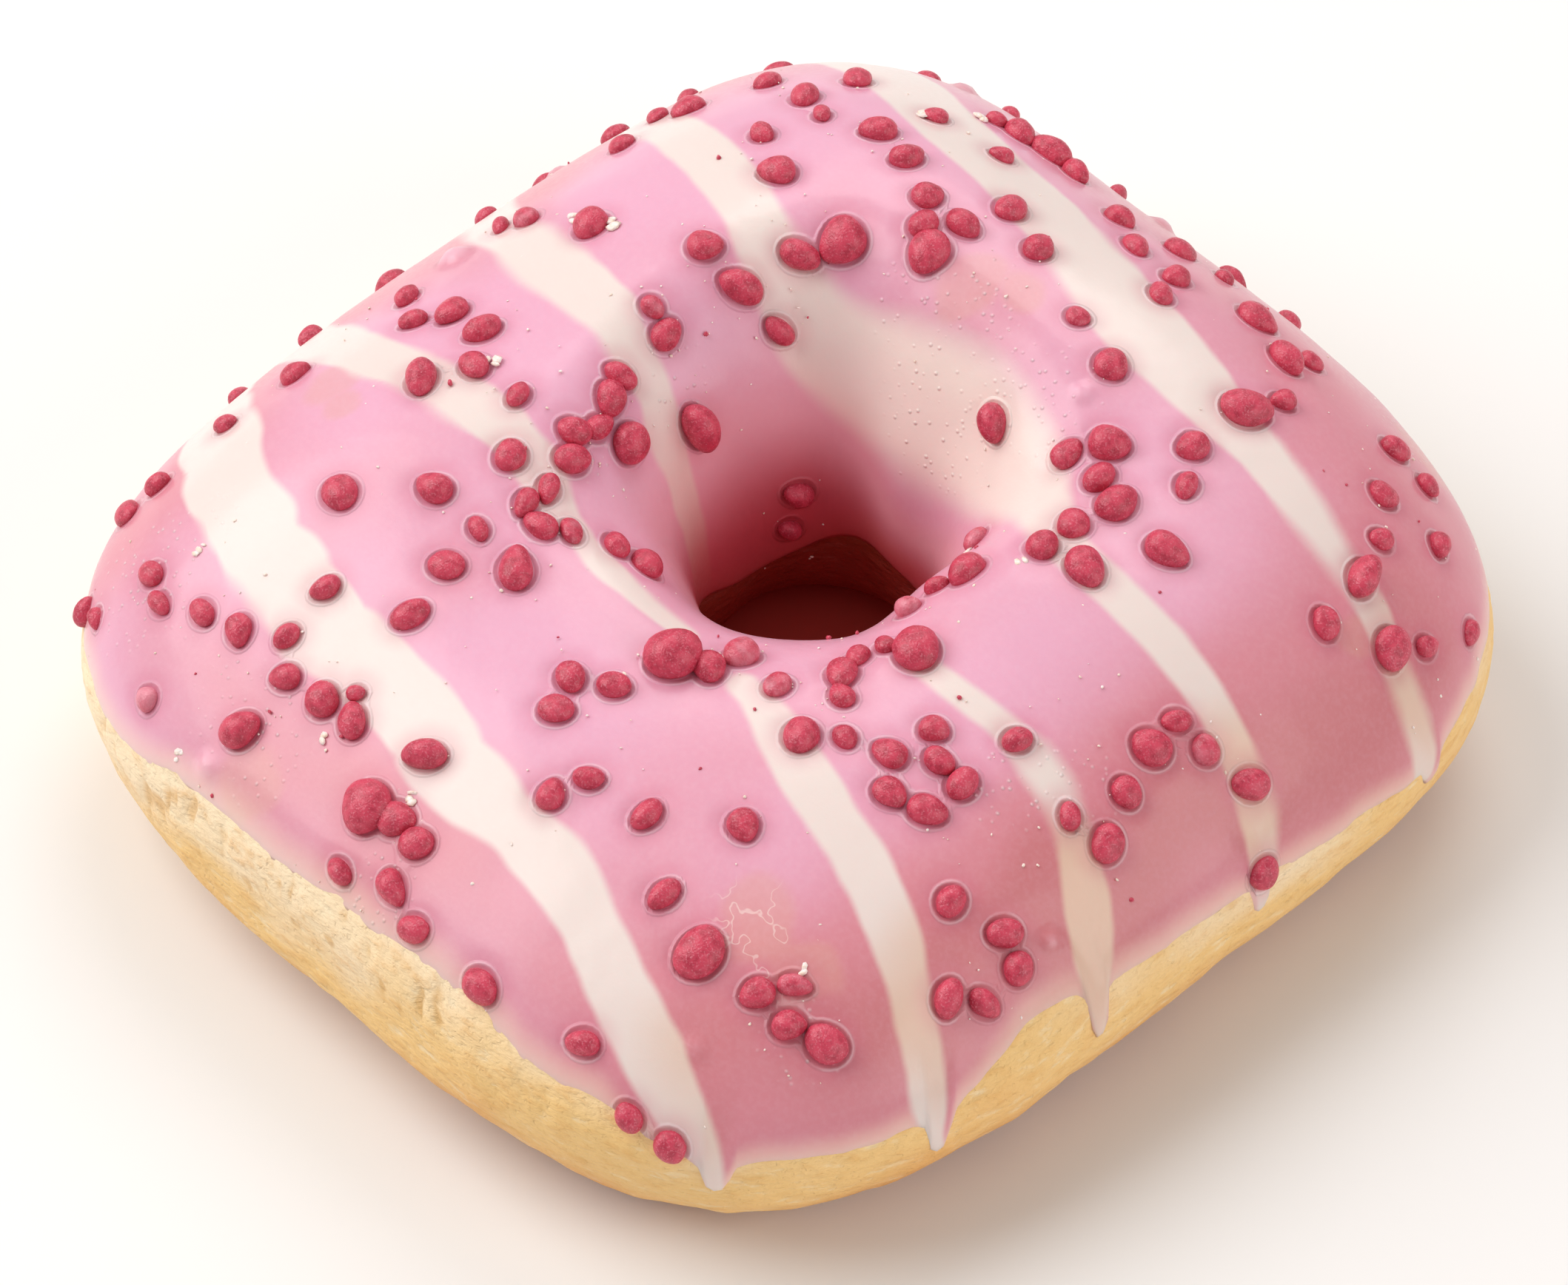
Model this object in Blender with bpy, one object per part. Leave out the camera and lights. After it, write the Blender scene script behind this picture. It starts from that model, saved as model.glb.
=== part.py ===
"""A square ring doughnut with pink icing and crunchy fruit granules.

The ring is lofted from sections. A place on it has a turn, the angle round the ring in degrees
from +X, and an across, the place along the section: -1 at the base on the hole's side, 0 at the
throat, where the hole is narrowest, 1 at the crest, 2 at the girth, where the ring is widest, and
3 at the base outside. Lengths are in millimetres until a mesh is made.
"""
import math
import random

import bmesh
import bpy
import numpy as np
from mathutils import Matrix, Vector

MM = 0.001

# Outline seen from above: a rounded square, and a small hole off its middle
HALF_X, HALF_Y = 41.2, 43.6
OUTER_SQUARENESS = 3.6
HOLE_RADIUS = 7.6
HOLE_SQUARENESS = 2.2
HOLE_CENTRE = (0.8, 1.9)

# Section: the crest lies near the hole, and is higher towards -X and +Y
CREST_HEIGHT = 28.6
CREST_LEAN = (-0.085, 0.104)
CREST_AT = 0.30
GIRTH_HEIGHT = 10.5
THROAT_HEIGHT = 9.4
OUTER_TUCK, INNER_TUCK = 11.7, 9.5
OUTER_BULGE, INNER_BULGE, BASE_BULGE = 1.83, 1.93, 2.2

# Slow swells of the dough: height, waves round the ring, waves across it, phase
SWELLS = ((0.30, 2, 1.0, 0.4), (0.25, 3, -1.5, 2.1), (0.20, 5, 2.0, 4.0), (0.16, 7, -2.5, 1.2))

# Icing: it lies in the dough's skin, and that hollow fades out below its edges
ICING_THICKNESS = 1.2
NODE_GAP = 0.3
EDGE_LIP = 0.35
HOLLOW_FADES_IN_HOLE, HOLLOW_FADES_OUTSIDE = (-0.5, 0.05), (1.75, 2.4)
HOLE_EDGE_WAVE, HOLE_EDGE_WAVES, HOLE_EDGE_PHASE = 0.04, 3, 0.7
# Where the lower edge of the icing lies round the ring: turn, across
OUTER_EDGE = (
    (0, 1.89), (14, 1.92), (30, 1.98), (42, 1.92), (70, 1.94), (100, 1.88), (135, 1.94),
    (170, 1.87), (205, 1.93), (240, 1.92), (255, 1.82), (285, 1.76), (300, 1.83), (310, 1.95),
    (328, 1.95), (340, 1.81),
)
# Drips of the icing below that edge: turn, lowest across, width
DRIPS = (
    (311.5, 2.10, 2.2), (329.5, 2.14, 2.0), (346.5, 2.02, 1.9), (8.0, 2.02, 1.9), (30.5, 2.08, 2.2),
)
DRIP_THICKNESS = 0.9
DRIP_SEGMENTS, DRIP_RINGS = 8, 6

# Granules by region, each as turn, across, length
GRANULES = {
    "left side": (
        (209, 1.47, 2.4), (215, 1.55, 1.9), (220, 1.66, 2.2), (221, 1.75, 2.5), (229, 1.86, 2.3),
        (231.5, 1.80, 1.8), (232, 1.62, 2.2), (235.5, 1.62, 2.2), (239, 1.55, 2.4), (243, 1.51, 2.5),
        (246.5, 1.45, 2.1), (250.5, 1.50, 2.3), (255.5, 1.48, 2.6), (257.5, 1.43, 1.4), (260, 1.47, 2.8),
        (252, 1.63, 3.2), (242.5, 1.75, 1.9), (243.5, 1.35, 2.3), (231.5, 1.27, 2.8), (234, 1.13, 2.7),
        (243, 1.09, 2.0), (247.5, 1.17, 2.6), (253, 1.08, 3.6), (252.5, 1.27, 2.9), (213.5, 1.19, 3.2),
        (210, 1.12, 2.5), (216, 1.01, 2.1), (229.5, 0.99, 2.5), (201.5, 1.17, 2.9), (198, 1.27, 2.7),
        (200, 1.33, 2.2), (194, 1.43, 2.2), (178, 1.43, 1.9), (176, 1.38, 2.4),
    ),
    "near left side": (
        (269, 1.57, 3.9), (272.5, 1.55, 2.8), (276, 1.56, 2.5), (270.5, 1.71, 2.2), (276.5, 1.66, 2.8),
        (280.5, 1.70, 2.4), (270, 1.43, 3.2), (277, 1.16, 2.4), (283.5, 1.12, 2.4), (279, 1.22, 2.5),
        (286, 1.34, 2.4), (289, 1.28, 2.2),
    ),
    "near corner": (
        (298, 1.28, 2.6), (303, 1.39, 2.6), (308, 1.47, 3.9), (310, 1.25, 2.4), (313.8, 1.53, 2.5),
        (317.2, 1.52, 2.4), (316.8, 1.59, 2.4), (320, 1.64, 3.1), (299.5, 1.70, 2.4), (289, 1.71, 2.8),
        (304.5, 1.84, 2.2), (308, 1.90, 2.4), (316.5, 1.09, 2.8), (323.5, 1.11, 1.9), (323.5, 1.02, 2.1),
        (330, 1.17, 2.6), (337.8, 1.17, 2.1), (336.8, 1.23, 2.4), (338.8, 1.29, 2.6), (329, 1.24, 2.5),
        (333.3, 1.30, 2.8),
    ),
    "near right side": (
        (348.7, 1.28, 2.2), (350.3, 1.46, 2.1), (353, 1.55, 2.8), (358, 1.49, 2.3), (3.9, 1.45, 2.9),
        (8.6, 1.44, 2.2), (9.3, 1.52, 2.2), (333.5, 1.47, 2.4), (338.3, 1.58, 2.6), (338.8, 1.66, 2.4),
        (331.4, 1.64, 2.8), (334.8, 1.69, 2.5), (11.3, 1.64, 2.9), (8.6, 1.88, 2.5), (37.5, 1.51, 3.4),
        (30.5, 1.50, 2.4), (33, 1.64, 3.3), (36, 1.71, 2.0), (41, 1.81, 2.1), (43, 1.52, 2.0),
        (46.5, 1.66, 2.1), (48.5, 1.52, 2.4), (56, 1.59, 2.7), (53.5, 1.66, 2.0),
    ),
    "right arm": (
        (28.2, 1.19, 3.3), (18, 1.10, 3.2), (18.5, 0.98, 2.6), (26.5, 1.01, 2.5), (34, 1.06, 3.3),
        (39, 1.00, 2.6), (46.6, 1.01, 3.0), (45.5, 0.84, 2.5), (47.5, 1.16, 2.5), (40.5, 1.16, 2.2),
        (63.1, 1.06, 2.6), (64.5, 0.61, 2.9), (55, 1.27, 3.9), (57.5, 1.35, 2.0),
    ),
    "far right side": (
        (64.8, 1.42, 3.0), (66, 1.50, 2.0), (72, 1.45, 3.2), (76.1, 1.27, 2.2), (79.5, 1.35, 2.3),
        (74.7, 1.07, 1.8), (81.5, 1.53, 1.9), (86.7, 1.35, 2.3), (86, 1.48, 2.8), (93, 1.41, 2.4),
        (91.8, 1.13, 2.4), (101, 1.17, 2.8), (104.8, 1.05, 2.7), (113.7, 1.06, 2.4), (111.5, 0.97, 2.4),
        (107.5, 0.88, 3.5), (102.5, 1.46, 2.4), (106.5, 1.46, 3.4), (110.5, 1.44, 2.7), (109, 1.30, 1.9),
        (113.5, 1.43, 1.7), (119.3, 1.30, 1.9),
    ),
    "far left side": (
        (120, 1.13, 2.7), (125.8, 1.18, 2.8), (130, 1.37, 2.5), (134, 1.22, 1.8), (136.2, 1.29, 2.7),
        (140, 1.40, 2.4), (142.8, 1.19, 2.1), (142, 1.07, 2.8), (139.5, 0.76, 3.0), (129, 0.80, 3.6),
        (149.5, 1.42, 2.7), (152.5, 1.48, 1.9), (158.5, 1.42, 2.2), (161.5, 0.92, 2.6), (157, 0.73, 3.4),
        (148, 0.57, 2.6), (173.5, 1.21, 2.8),
    ),
    "round the hole": (
        (180.5, 0.85, 1.9), (182, 0.74, 2.5), (200.5, 0.75, 2.6), (208, 0.73, 2.8), (216.5, 0.72, 2.5),
        (215, 0.61, 3.1), (188.5, 0.46, 3.8), (221, 0.79, 2.5), (228, 0.78, 2.8), (237, 0.88, 2.4),
        (240, 0.98, 2.4), (245.5, 0.97, 2.6), (248, 0.87, 2.1), (252, 0.72, 2.2), (257.5, 0.63, 3.0),
        (145.5, 0.16, 2.4), (150, 0.07, 2.1), (289, 1.00, 4.2), (296.5, 0.95, 2.6), (301, 0.82, 2.8),
        (311, 0.95, 2.2), (324, 0.93, 2.8), (328, 0.86, 2.0), (340.5, 0.99, 3.5), (335, 0.86, 1.8),
        (347, 0.70, 2.2), (4, 0.80, 2.9), (357, 0.73, 2.0), (28, 0.53, 2.3),
    ),
}
# The two far sides, which carry as many granules as the near ones
FAR_TURNS, FAR_ACROSS, FAR_SPACING, FAR_TRIES = (78, 205), (1.66, 1.84), 6.0, 900
GRANULE_LENGTHS = (1.9, 3.0)
GRANULE_WIDTHS, GRANULE_HEIGHTS = (0.62, 0.92), (0.56, 0.78)
GRANULE_TO_EDGE = 0.05
SUNK_SHARE = 0.42
SEED = 11
GRANULE_SEGMENTS, GRANULE_RINGS = 6, 4
GRANULES_FUSED = 140

# Mesh density
TURN_STEPS = 72
DOUGH_STATIONS = (-1, -0.66, -0.33, 0, 0.25, 0.5, 0.75, 1, 1.2, 1.4, 1.6, 1.8, 2, 2.25, 2.5, 2.75, 3)
ICING_STATIONS = 14

DOUGH_COLOUR = (0.86, 0.58, 0.24)
ICING_COLOUR = (0.84, 0.40, 0.56)


def smooth(low, high, value):
    """0 below low, 1 above high, and an even S between them."""
    share = np.clip((value - low) / (high - low), 0, 1)
    return share * share * (3 - 2 * share)


def outline(turn, half_x, half_y, squareness):
    """Distance from the middle to a rounded square, along the turn in radians."""
    across_x = np.abs(np.cos(turn) / half_x) ** squareness
    across_y = np.abs(np.sin(turn) / half_y) ** squareness
    return (across_x + across_y) ** (-1 / squareness)


def quarter(progress, bulge):
    """How far a quarter of a superellipse has gone out, and how much height it has left."""
    angle = progress * math.pi / 2
    return np.abs(np.sin(angle)) ** (2 / bulge), np.abs(np.cos(angle)) ** (2 / bulge)


def section(turn, across, span):
    """Place along a section: the distance out from the throat, and the height."""
    crest = CREST_HEIGHT * (1 + CREST_LEAN[0] * np.cos(turn) + CREST_LEAN[1] * np.sin(turn))
    base_in, left_in = quarter(np.clip(-across, 0, 1), BASE_BULGE)
    inner, up_in = quarter(np.clip(1 - across, 0, 1), INNER_BULGE)
    outer, up_out = quarter(np.clip(across - 1, 0, 1), OUTER_BULGE)
    base_out, left_out = quarter(np.clip(across - 2, 0, 1), BASE_BULGE)
    zones = [across < 0, across < 1, across < 2]
    out = np.select(
        zones,
        [INNER_TUCK * (1 - left_in), span * CREST_AT * (1 - inner),
         span * (CREST_AT + (1 - CREST_AT) * outer)],
        span - OUTER_TUCK * (1 - left_out))
    height = np.select(
        zones,
        [THROAT_HEIGHT * (1 - base_in), THROAT_HEIGHT + (crest - THROAT_HEIGHT) * up_in,
         GIRTH_HEIGHT + (crest - GIRTH_HEIGHT) * up_out],
        GIRTH_HEIGHT * (1 - base_out))
    return out, height


def swell(turn, across):
    """Slow unevenness of the skin, fading to nothing at the base."""
    waves = sum(
        height * np.cos(ringwise * turn + crosswise * across + phase)
        for height, ringwise, crosswise, phase in SWELLS)
    return waves * smooth(-1, 0, across) * (1 - smooth(2, 3, across))


def skin(turn_deg, across, depth=0.0):
    """Points of the doughnut's skin, moved inwards by a depth."""
    turn = np.radians(np.asarray(turn_deg, float))
    across = np.asarray(across, float)
    ray = np.stack([np.cos(turn), np.sin(turn)], -1)
    throat = ray * outline(turn, HOLE_RADIUS, HOLE_RADIUS, HOLE_SQUARENESS)[..., None] + HOLE_CENTRE
    girth = ray * outline(turn, HALF_X, HALF_Y, OUTER_SQUARENESS)[..., None]
    span = np.linalg.norm(girth - throat, axis=-1)
    way = (girth - throat) / span[..., None]
    out, height = section(turn, across, span)
    step = 0.002
    out_a, height_a = section(turn, np.clip(across - step, -1, 3), span)
    out_b, height_b = section(turn, np.clip(across + step, -1, 3), span)
    rise, run = height_b - height_a, out_b - out_a
    length = np.hypot(rise, run)
    inwards = np.asarray(depth, float) - swell(turn, across)
    out = out + inwards * rise / length
    height = np.maximum(height - inwards * run / length, 0)
    place = throat + way * out[..., None]
    return np.concatenate([place, height[..., None]], -1)


def skin_frame(turn_deg, across):
    """A point of the skin with its outward direction and the direction round the ring."""
    point = skin(turn_deg, across)
    ringwise = skin(turn_deg + 0.2, across) - skin(turn_deg - 0.2, across)
    crosswise = skin(turn_deg, across + 0.01) - skin(turn_deg, across - 0.01)
    normal = Vector(np.cross(crosswise, ringwise)).normalized()
    return Vector(point), normal, Vector(ringwise).normalized()


def dough_depth(across):
    """Depth of the dough under the skin: the icing and the gap on top, nothing near the base."""
    full = ICING_THICKNESS + NODE_GAP
    return full * smooth(*HOLLOW_FADES_IN_HOLE, across) * (1 - smooth(*HOLLOW_FADES_OUTSIDE, across))


def edge_across(turn_deg):
    """Lower edge of the icing outside, smooth all round."""
    turns, edges = zip(*OUTER_EDGE)
    turns = np.array(turns + (turns[0] + 360,), float)
    edges = np.array(edges + (edges[0],), float)
    turn = np.mod(np.asarray(turn_deg, float), 360)
    index = np.clip(np.searchsorted(turns, turn, side="right") - 1, 0, len(turns) - 2)
    share = smooth(turns[index], turns[index + 1], turn)
    return edges[index] + (edges[index + 1] - edges[index]) * share


def hole_edge_across(turn_deg):
    """Lower edge of the icing inside the hole."""
    turn = np.radians(np.asarray(turn_deg, float))
    return HOLE_EDGE_WAVE * np.cos(HOLE_EDGE_WAVES * turn + HOLE_EDGE_PHASE)


def ring_mesh(name, sections):
    """A closed loft round the ring, from an array of sections that are closed loops of points."""
    turns, stations = sections.shape[:2]
    build = bmesh.new()
    rows = [[build.verts.new(point * MM) for point in loop] for loop in sections]
    for i in range(turns):
        near, far = rows[i], rows[(i + 1) % turns]
        for j in range(stations):
            k = (j + 1) % stations
            build.faces.new((near[j], far[j], far[k], near[k]))
    bmesh.ops.recalc_face_normals(build, faces=build.faces)
    bmesh.ops.triangulate(build, faces=build.faces)
    mesh = bpy.data.meshes.new(name)
    build.to_mesh(mesh)
    build.free()
    return mesh


def turns_of_mesh():
    return np.arange(TURN_STEPS) * 360 / TURN_STEPS


def dough_mesh():
    turn, across = np.meshgrid(turns_of_mesh(), DOUGH_STATIONS, indexing="ij")
    return ring_mesh("dough", skin(turn, across, dough_depth(across)))


def icing_mesh():
    """The icing as a shell: its top goes outwards, and its underside comes back."""
    share = np.linspace(0, 1, ICING_STATIONS)
    turn, share = np.meshgrid(turns_of_mesh(), share, indexing="ij")
    start, end = hole_edge_across(turn), edge_across(turn)
    across = start + (end - start) * share
    at_edge = (share == 0) | (share == 1)
    top = skin(turn, across, np.where(at_edge, EDGE_LIP, 0.0))
    under = skin(turn, across, dough_depth(across) - NODE_GAP)
    return ring_mesh("icing", np.concatenate([top, under[:, ::-1]], axis=1))


def granule(draw, turn, across, length):
    """One granule: where it lies, its length, width and height, and its heading."""
    lowest = float(edge_across(turn)) - GRANULE_TO_EDGE
    return {
        "turn": turn % 360, "across": min(across, lowest), "length": length,
        "width": length * draw.uniform(*GRANULE_WIDTHS), "height": length * draw.uniform(*GRANULE_HEIGHTS),
        "heading": draw.uniform(0, math.pi),
    }


def mm_per_degree(turn, across):
    return float(np.linalg.norm(skin(turn + 0.5, across) - skin(turn - 0.5, across)))


def granules_on_far_sides(draw, placed):
    """Granules spread evenly: each keeps its distance from all that are there already."""
    taken = [Vector(skin(item["turn"], item["across"])) for item in placed]
    for _ in range(FAR_TRIES):
        turn, across = draw.uniform(*FAR_TURNS), draw.uniform(*FAR_ACROSS)
        length = draw.uniform(*GRANULE_LENGTHS)
        point = Vector(skin(turn, across))
        if all((point - other).length > FAR_SPACING for other in taken):
            taken.append(point)
            yield granule(draw, turn, across, length)


def all_granules():
    """Those in view by region, and then the far sides' own."""
    draw = random.Random(SEED)
    placed = [granule(draw, *place) for region in GRANULES.values() for place in region]
    placed += list(granules_on_far_sides(draw, placed))
    return placed


def pebble(segments, rings):
    """A ball of 1 mm across, as a mesh to be shaped."""
    build = bmesh.new()
    bmesh.ops.create_uvsphere(build, u_segments=segments, v_segments=rings, radius=0.5)
    mesh = bpy.data.meshes.new("pebble")
    build.to_mesh(mesh)
    build.free()
    return mesh


def granule_mesh(item):
    """A rounded pebble sunk a little way into the icing."""
    point, normal, tangent = skin_frame(item["turn"], item["across"])
    side = normal.cross(tangent)
    length_way = tangent * math.cos(item["heading"]) + side * math.sin(item["heading"])
    width_way = normal.cross(length_way)
    room = float(dough_depth(item["across"])) - 2 * NODE_GAP
    sunk = min(item["height"] * SUNK_SHARE, room)
    centre = point + normal * (item["height"] / 2 - sunk)
    axes = (length_way * item["length"], width_way * item["width"], normal * item["height"])
    mesh = pebble(GRANULE_SEGMENTS, GRANULE_RINGS)
    mesh.transform(Matrix.Translation(centre * MM) @ (Matrix(axes).transposed() * MM).to_4x4())
    return mesh


def drip_mesh(turn, lowest, width):
    """A tongue of icing that follows the skin down over the dough, its upper half in the icing."""
    mesh = pebble(DRIP_SEGMENTS, DRIP_RINGS)
    edge = float(edge_across(turn))
    for vertex in mesh.vertices:
        sideways, outwards, up = vertex.co
        across = edge - 2 * up * (lowest - edge)
        depth = float(dough_depth(across)) - NODE_GAP - (outwards + 0.5) * DRIP_THICKNESS
        vertex.co = Vector(skin(turn - sideways * width / mm_per_degree(turn, across), across, depth)) * MM
    return mesh


def add_toppings(collection):
    largest_first = sorted(all_granules(), key=lambda item: -item["length"])
    meshes = [granule_mesh(item) for item in largest_first[:GRANULES_FUSED]]
    meshes += [drip_mesh(*drip) for drip in DRIPS]
    for index, mesh in enumerate(meshes):
        collection.objects.link(bpy.data.objects.new(f"topping_{index:03d}", mesh))


def fuse(target, collection):
    """Join everything in a collection to the target, then remove the joined pieces."""
    union = target.modifiers.new("toppings", "BOOLEAN")
    union.operation = "UNION"
    union.operand_type = "COLLECTION"
    union.collection = collection
    union.solver = "MANIFOLD"
    evaluated = target.evaluated_get(bpy.context.evaluated_depsgraph_get())
    joined = bpy.data.meshes.new_from_object(evaluated)
    target.modifiers.remove(union)
    target.data = joined
    for piece in list(collection.objects):
        bpy.data.objects.remove(piece, do_unlink=True)
    bpy.data.collections.remove(collection)


def plain_material(name, colour, roughness):
    material = bpy.data.materials.new(name)
    material.use_nodes = True
    shader = material.node_tree.nodes["Principled BSDF"]
    shader.inputs["Base Color"].default_value = (*colour, 1)
    shader.inputs["Roughness"].default_value = roughness
    shader.inputs["Metallic"].default_value = 0
    return material


def add_node(name, mesh, material, collection):
    piece = bpy.data.objects.new(name, mesh)
    mesh.materials.clear()
    mesh.materials.append(material)
    collection.objects.link(piece)
    return piece


def stand_on_origin(pieces):
    """Put the middle of the whole box over the origin, and its lowest face on the ground."""
    corners = [piece.matrix_world @ vertex.co for piece in pieces for vertex in piece.data.vertices]
    low = Vector(min(corner[k] for corner in corners) for k in range(3))
    high = Vector(max(corner[k] for corner in corners) for k in range(3))
    shift = Vector(((low.x + high.x) / 2, (low.y + high.y) / 2, low.z))
    for piece in pieces:
        piece.data.transform(Matrix.Translation(-shift))


def main():
    for piece in list(bpy.data.objects):
        bpy.data.objects.remove(piece, do_unlink=True)
    doughnut = bpy.data.collections.new("doughnut")
    toppings = bpy.data.collections.new("toppings")
    for collection in (doughnut, toppings):
        bpy.context.scene.collection.children.link(collection)

    dough = add_node("dough", dough_mesh(), plain_material("dough", DOUGH_COLOUR, 0.7), doughnut)
    icing_material = plain_material("icing", ICING_COLOUR, 0.35)
    icing = add_node("icing", icing_mesh(), icing_material, doughnut)

    add_toppings(toppings)
    fuse(icing, toppings)
    icing.data.materials.clear()
    icing.data.materials.append(icing_material)
    stand_on_origin([dough, icing])


main()
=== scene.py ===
"""The looks of a square ring doughnut: fine dough and icing, granules, crumbs, materials and light.

The shape is the same as that of the solids. A place on the ring has a turn, the angle round it in
degrees from +X, and an across, the place along the section: -1 at the base on the hole's side, 0 at
the throat, 1 at the crest, 2 at the girth and 3 at the base outside. Lengths are in millimetres
until a mesh is made. A layer of noise is a height, a size and a shift that sets it off from others.
"""
import itertools
import math
import random

import bmesh
import bpy
import numpy as np
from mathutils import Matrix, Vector


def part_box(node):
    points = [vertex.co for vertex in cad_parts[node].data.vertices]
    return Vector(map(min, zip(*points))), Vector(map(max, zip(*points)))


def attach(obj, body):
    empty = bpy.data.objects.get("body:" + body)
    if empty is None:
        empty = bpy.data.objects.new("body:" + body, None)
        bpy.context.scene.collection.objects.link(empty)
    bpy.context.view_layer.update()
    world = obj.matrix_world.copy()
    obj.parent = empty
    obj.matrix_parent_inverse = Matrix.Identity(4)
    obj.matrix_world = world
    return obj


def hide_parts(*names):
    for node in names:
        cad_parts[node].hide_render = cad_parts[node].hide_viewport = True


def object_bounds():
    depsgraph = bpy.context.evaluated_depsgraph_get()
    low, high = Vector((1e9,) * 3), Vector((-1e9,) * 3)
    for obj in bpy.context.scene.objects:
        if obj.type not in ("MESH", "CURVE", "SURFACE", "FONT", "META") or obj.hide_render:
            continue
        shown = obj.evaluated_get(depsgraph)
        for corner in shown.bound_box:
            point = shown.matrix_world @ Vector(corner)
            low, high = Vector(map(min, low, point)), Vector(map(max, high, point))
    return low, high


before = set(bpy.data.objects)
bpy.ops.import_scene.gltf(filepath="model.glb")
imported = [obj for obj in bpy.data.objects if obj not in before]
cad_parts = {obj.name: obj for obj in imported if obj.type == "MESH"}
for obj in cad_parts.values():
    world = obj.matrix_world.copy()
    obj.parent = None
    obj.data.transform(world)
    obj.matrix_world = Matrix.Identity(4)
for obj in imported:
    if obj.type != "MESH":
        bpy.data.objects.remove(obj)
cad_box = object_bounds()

MM = 0.001

# Outline seen from above: a rounded square, and a small hole off its middle
HALF_X, HALF_Y = 41.2, 43.6
OUTER_SQUARENESS = 3.6
HOLE_RADIUS = 7.6
HOLE_SQUARENESS = 2.2
HOLE_CENTRE = (0.8, 1.9)

# Section: the crest lies near the hole, and is higher towards -X and +Y
CREST_HEIGHT = 28.6
CREST_LEAN = (-0.085, 0.104)
CREST_AT = 0.30
GIRTH_HEIGHT = 10.5
THROAT_HEIGHT = 9.4
OUTER_TUCK, INNER_TUCK = 11.7, 9.5
OUTER_BULGE, INNER_BULGE, BASE_BULGE = 1.83, 1.93, 2.2

# Slow swells of the dough: height, waves round the ring, waves across it, phase
SWELLS = ((0.30, 2, 1.0, 0.4), (0.25, 3, -1.5, 2.1), (0.20, 5, 2.0, 4.0), (0.16, 7, -2.5, 1.2))

# Dough: how deep it lies under the icing, and under its own skin outside the icing
DOUGH_UNDER_ICING = 1.25
DOUGH_INSET, EDGE_SINK = 0.25, 0.06
HOLLOW_FADES_IN_HOLE = (-0.5, 0.05)
HOLLOW_FADES_OUTSIDE = (-0.30, -0.02)
INSET_GROWS_OVER = 0.2

# Icing edges: inside the hole, and outside as turn, across
HOLE_EDGE_WAVE, HOLE_EDGE_WAVES, HOLE_EDGE_PHASE = 0.04, 3, 0.7
OUTER_EDGE = (
    (0, 1.89), (14, 1.92), (30, 1.98), (42, 1.92), (70, 1.94), (100, 1.88), (135, 1.94),
    (170, 1.87), (205, 1.93), (240, 1.92), (255, 1.82), (285, 1.76), (300, 1.83), (310, 1.95),
    (328, 1.95), (340, 1.81),
)
# Drips of the icing below that edge: turn, lowest across, width
DRIPS = (
    (311.5, 2.10, 2.2), (329.5, 2.14, 2.0), (346.5, 2.02, 1.9), (8.0, 2.02, 1.9), (30.5, 2.08, 2.2),
)
DRIP_SHOULDER = 0.4
EDGE_WAVES = ((0.016, 4.0, 0), (0.010, 1.6, 50))
RAGGED_FROM = 0.8
UNDERSIDE_REACH, UNDERSIDE_DEEPER = 0.99, 0.12

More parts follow.
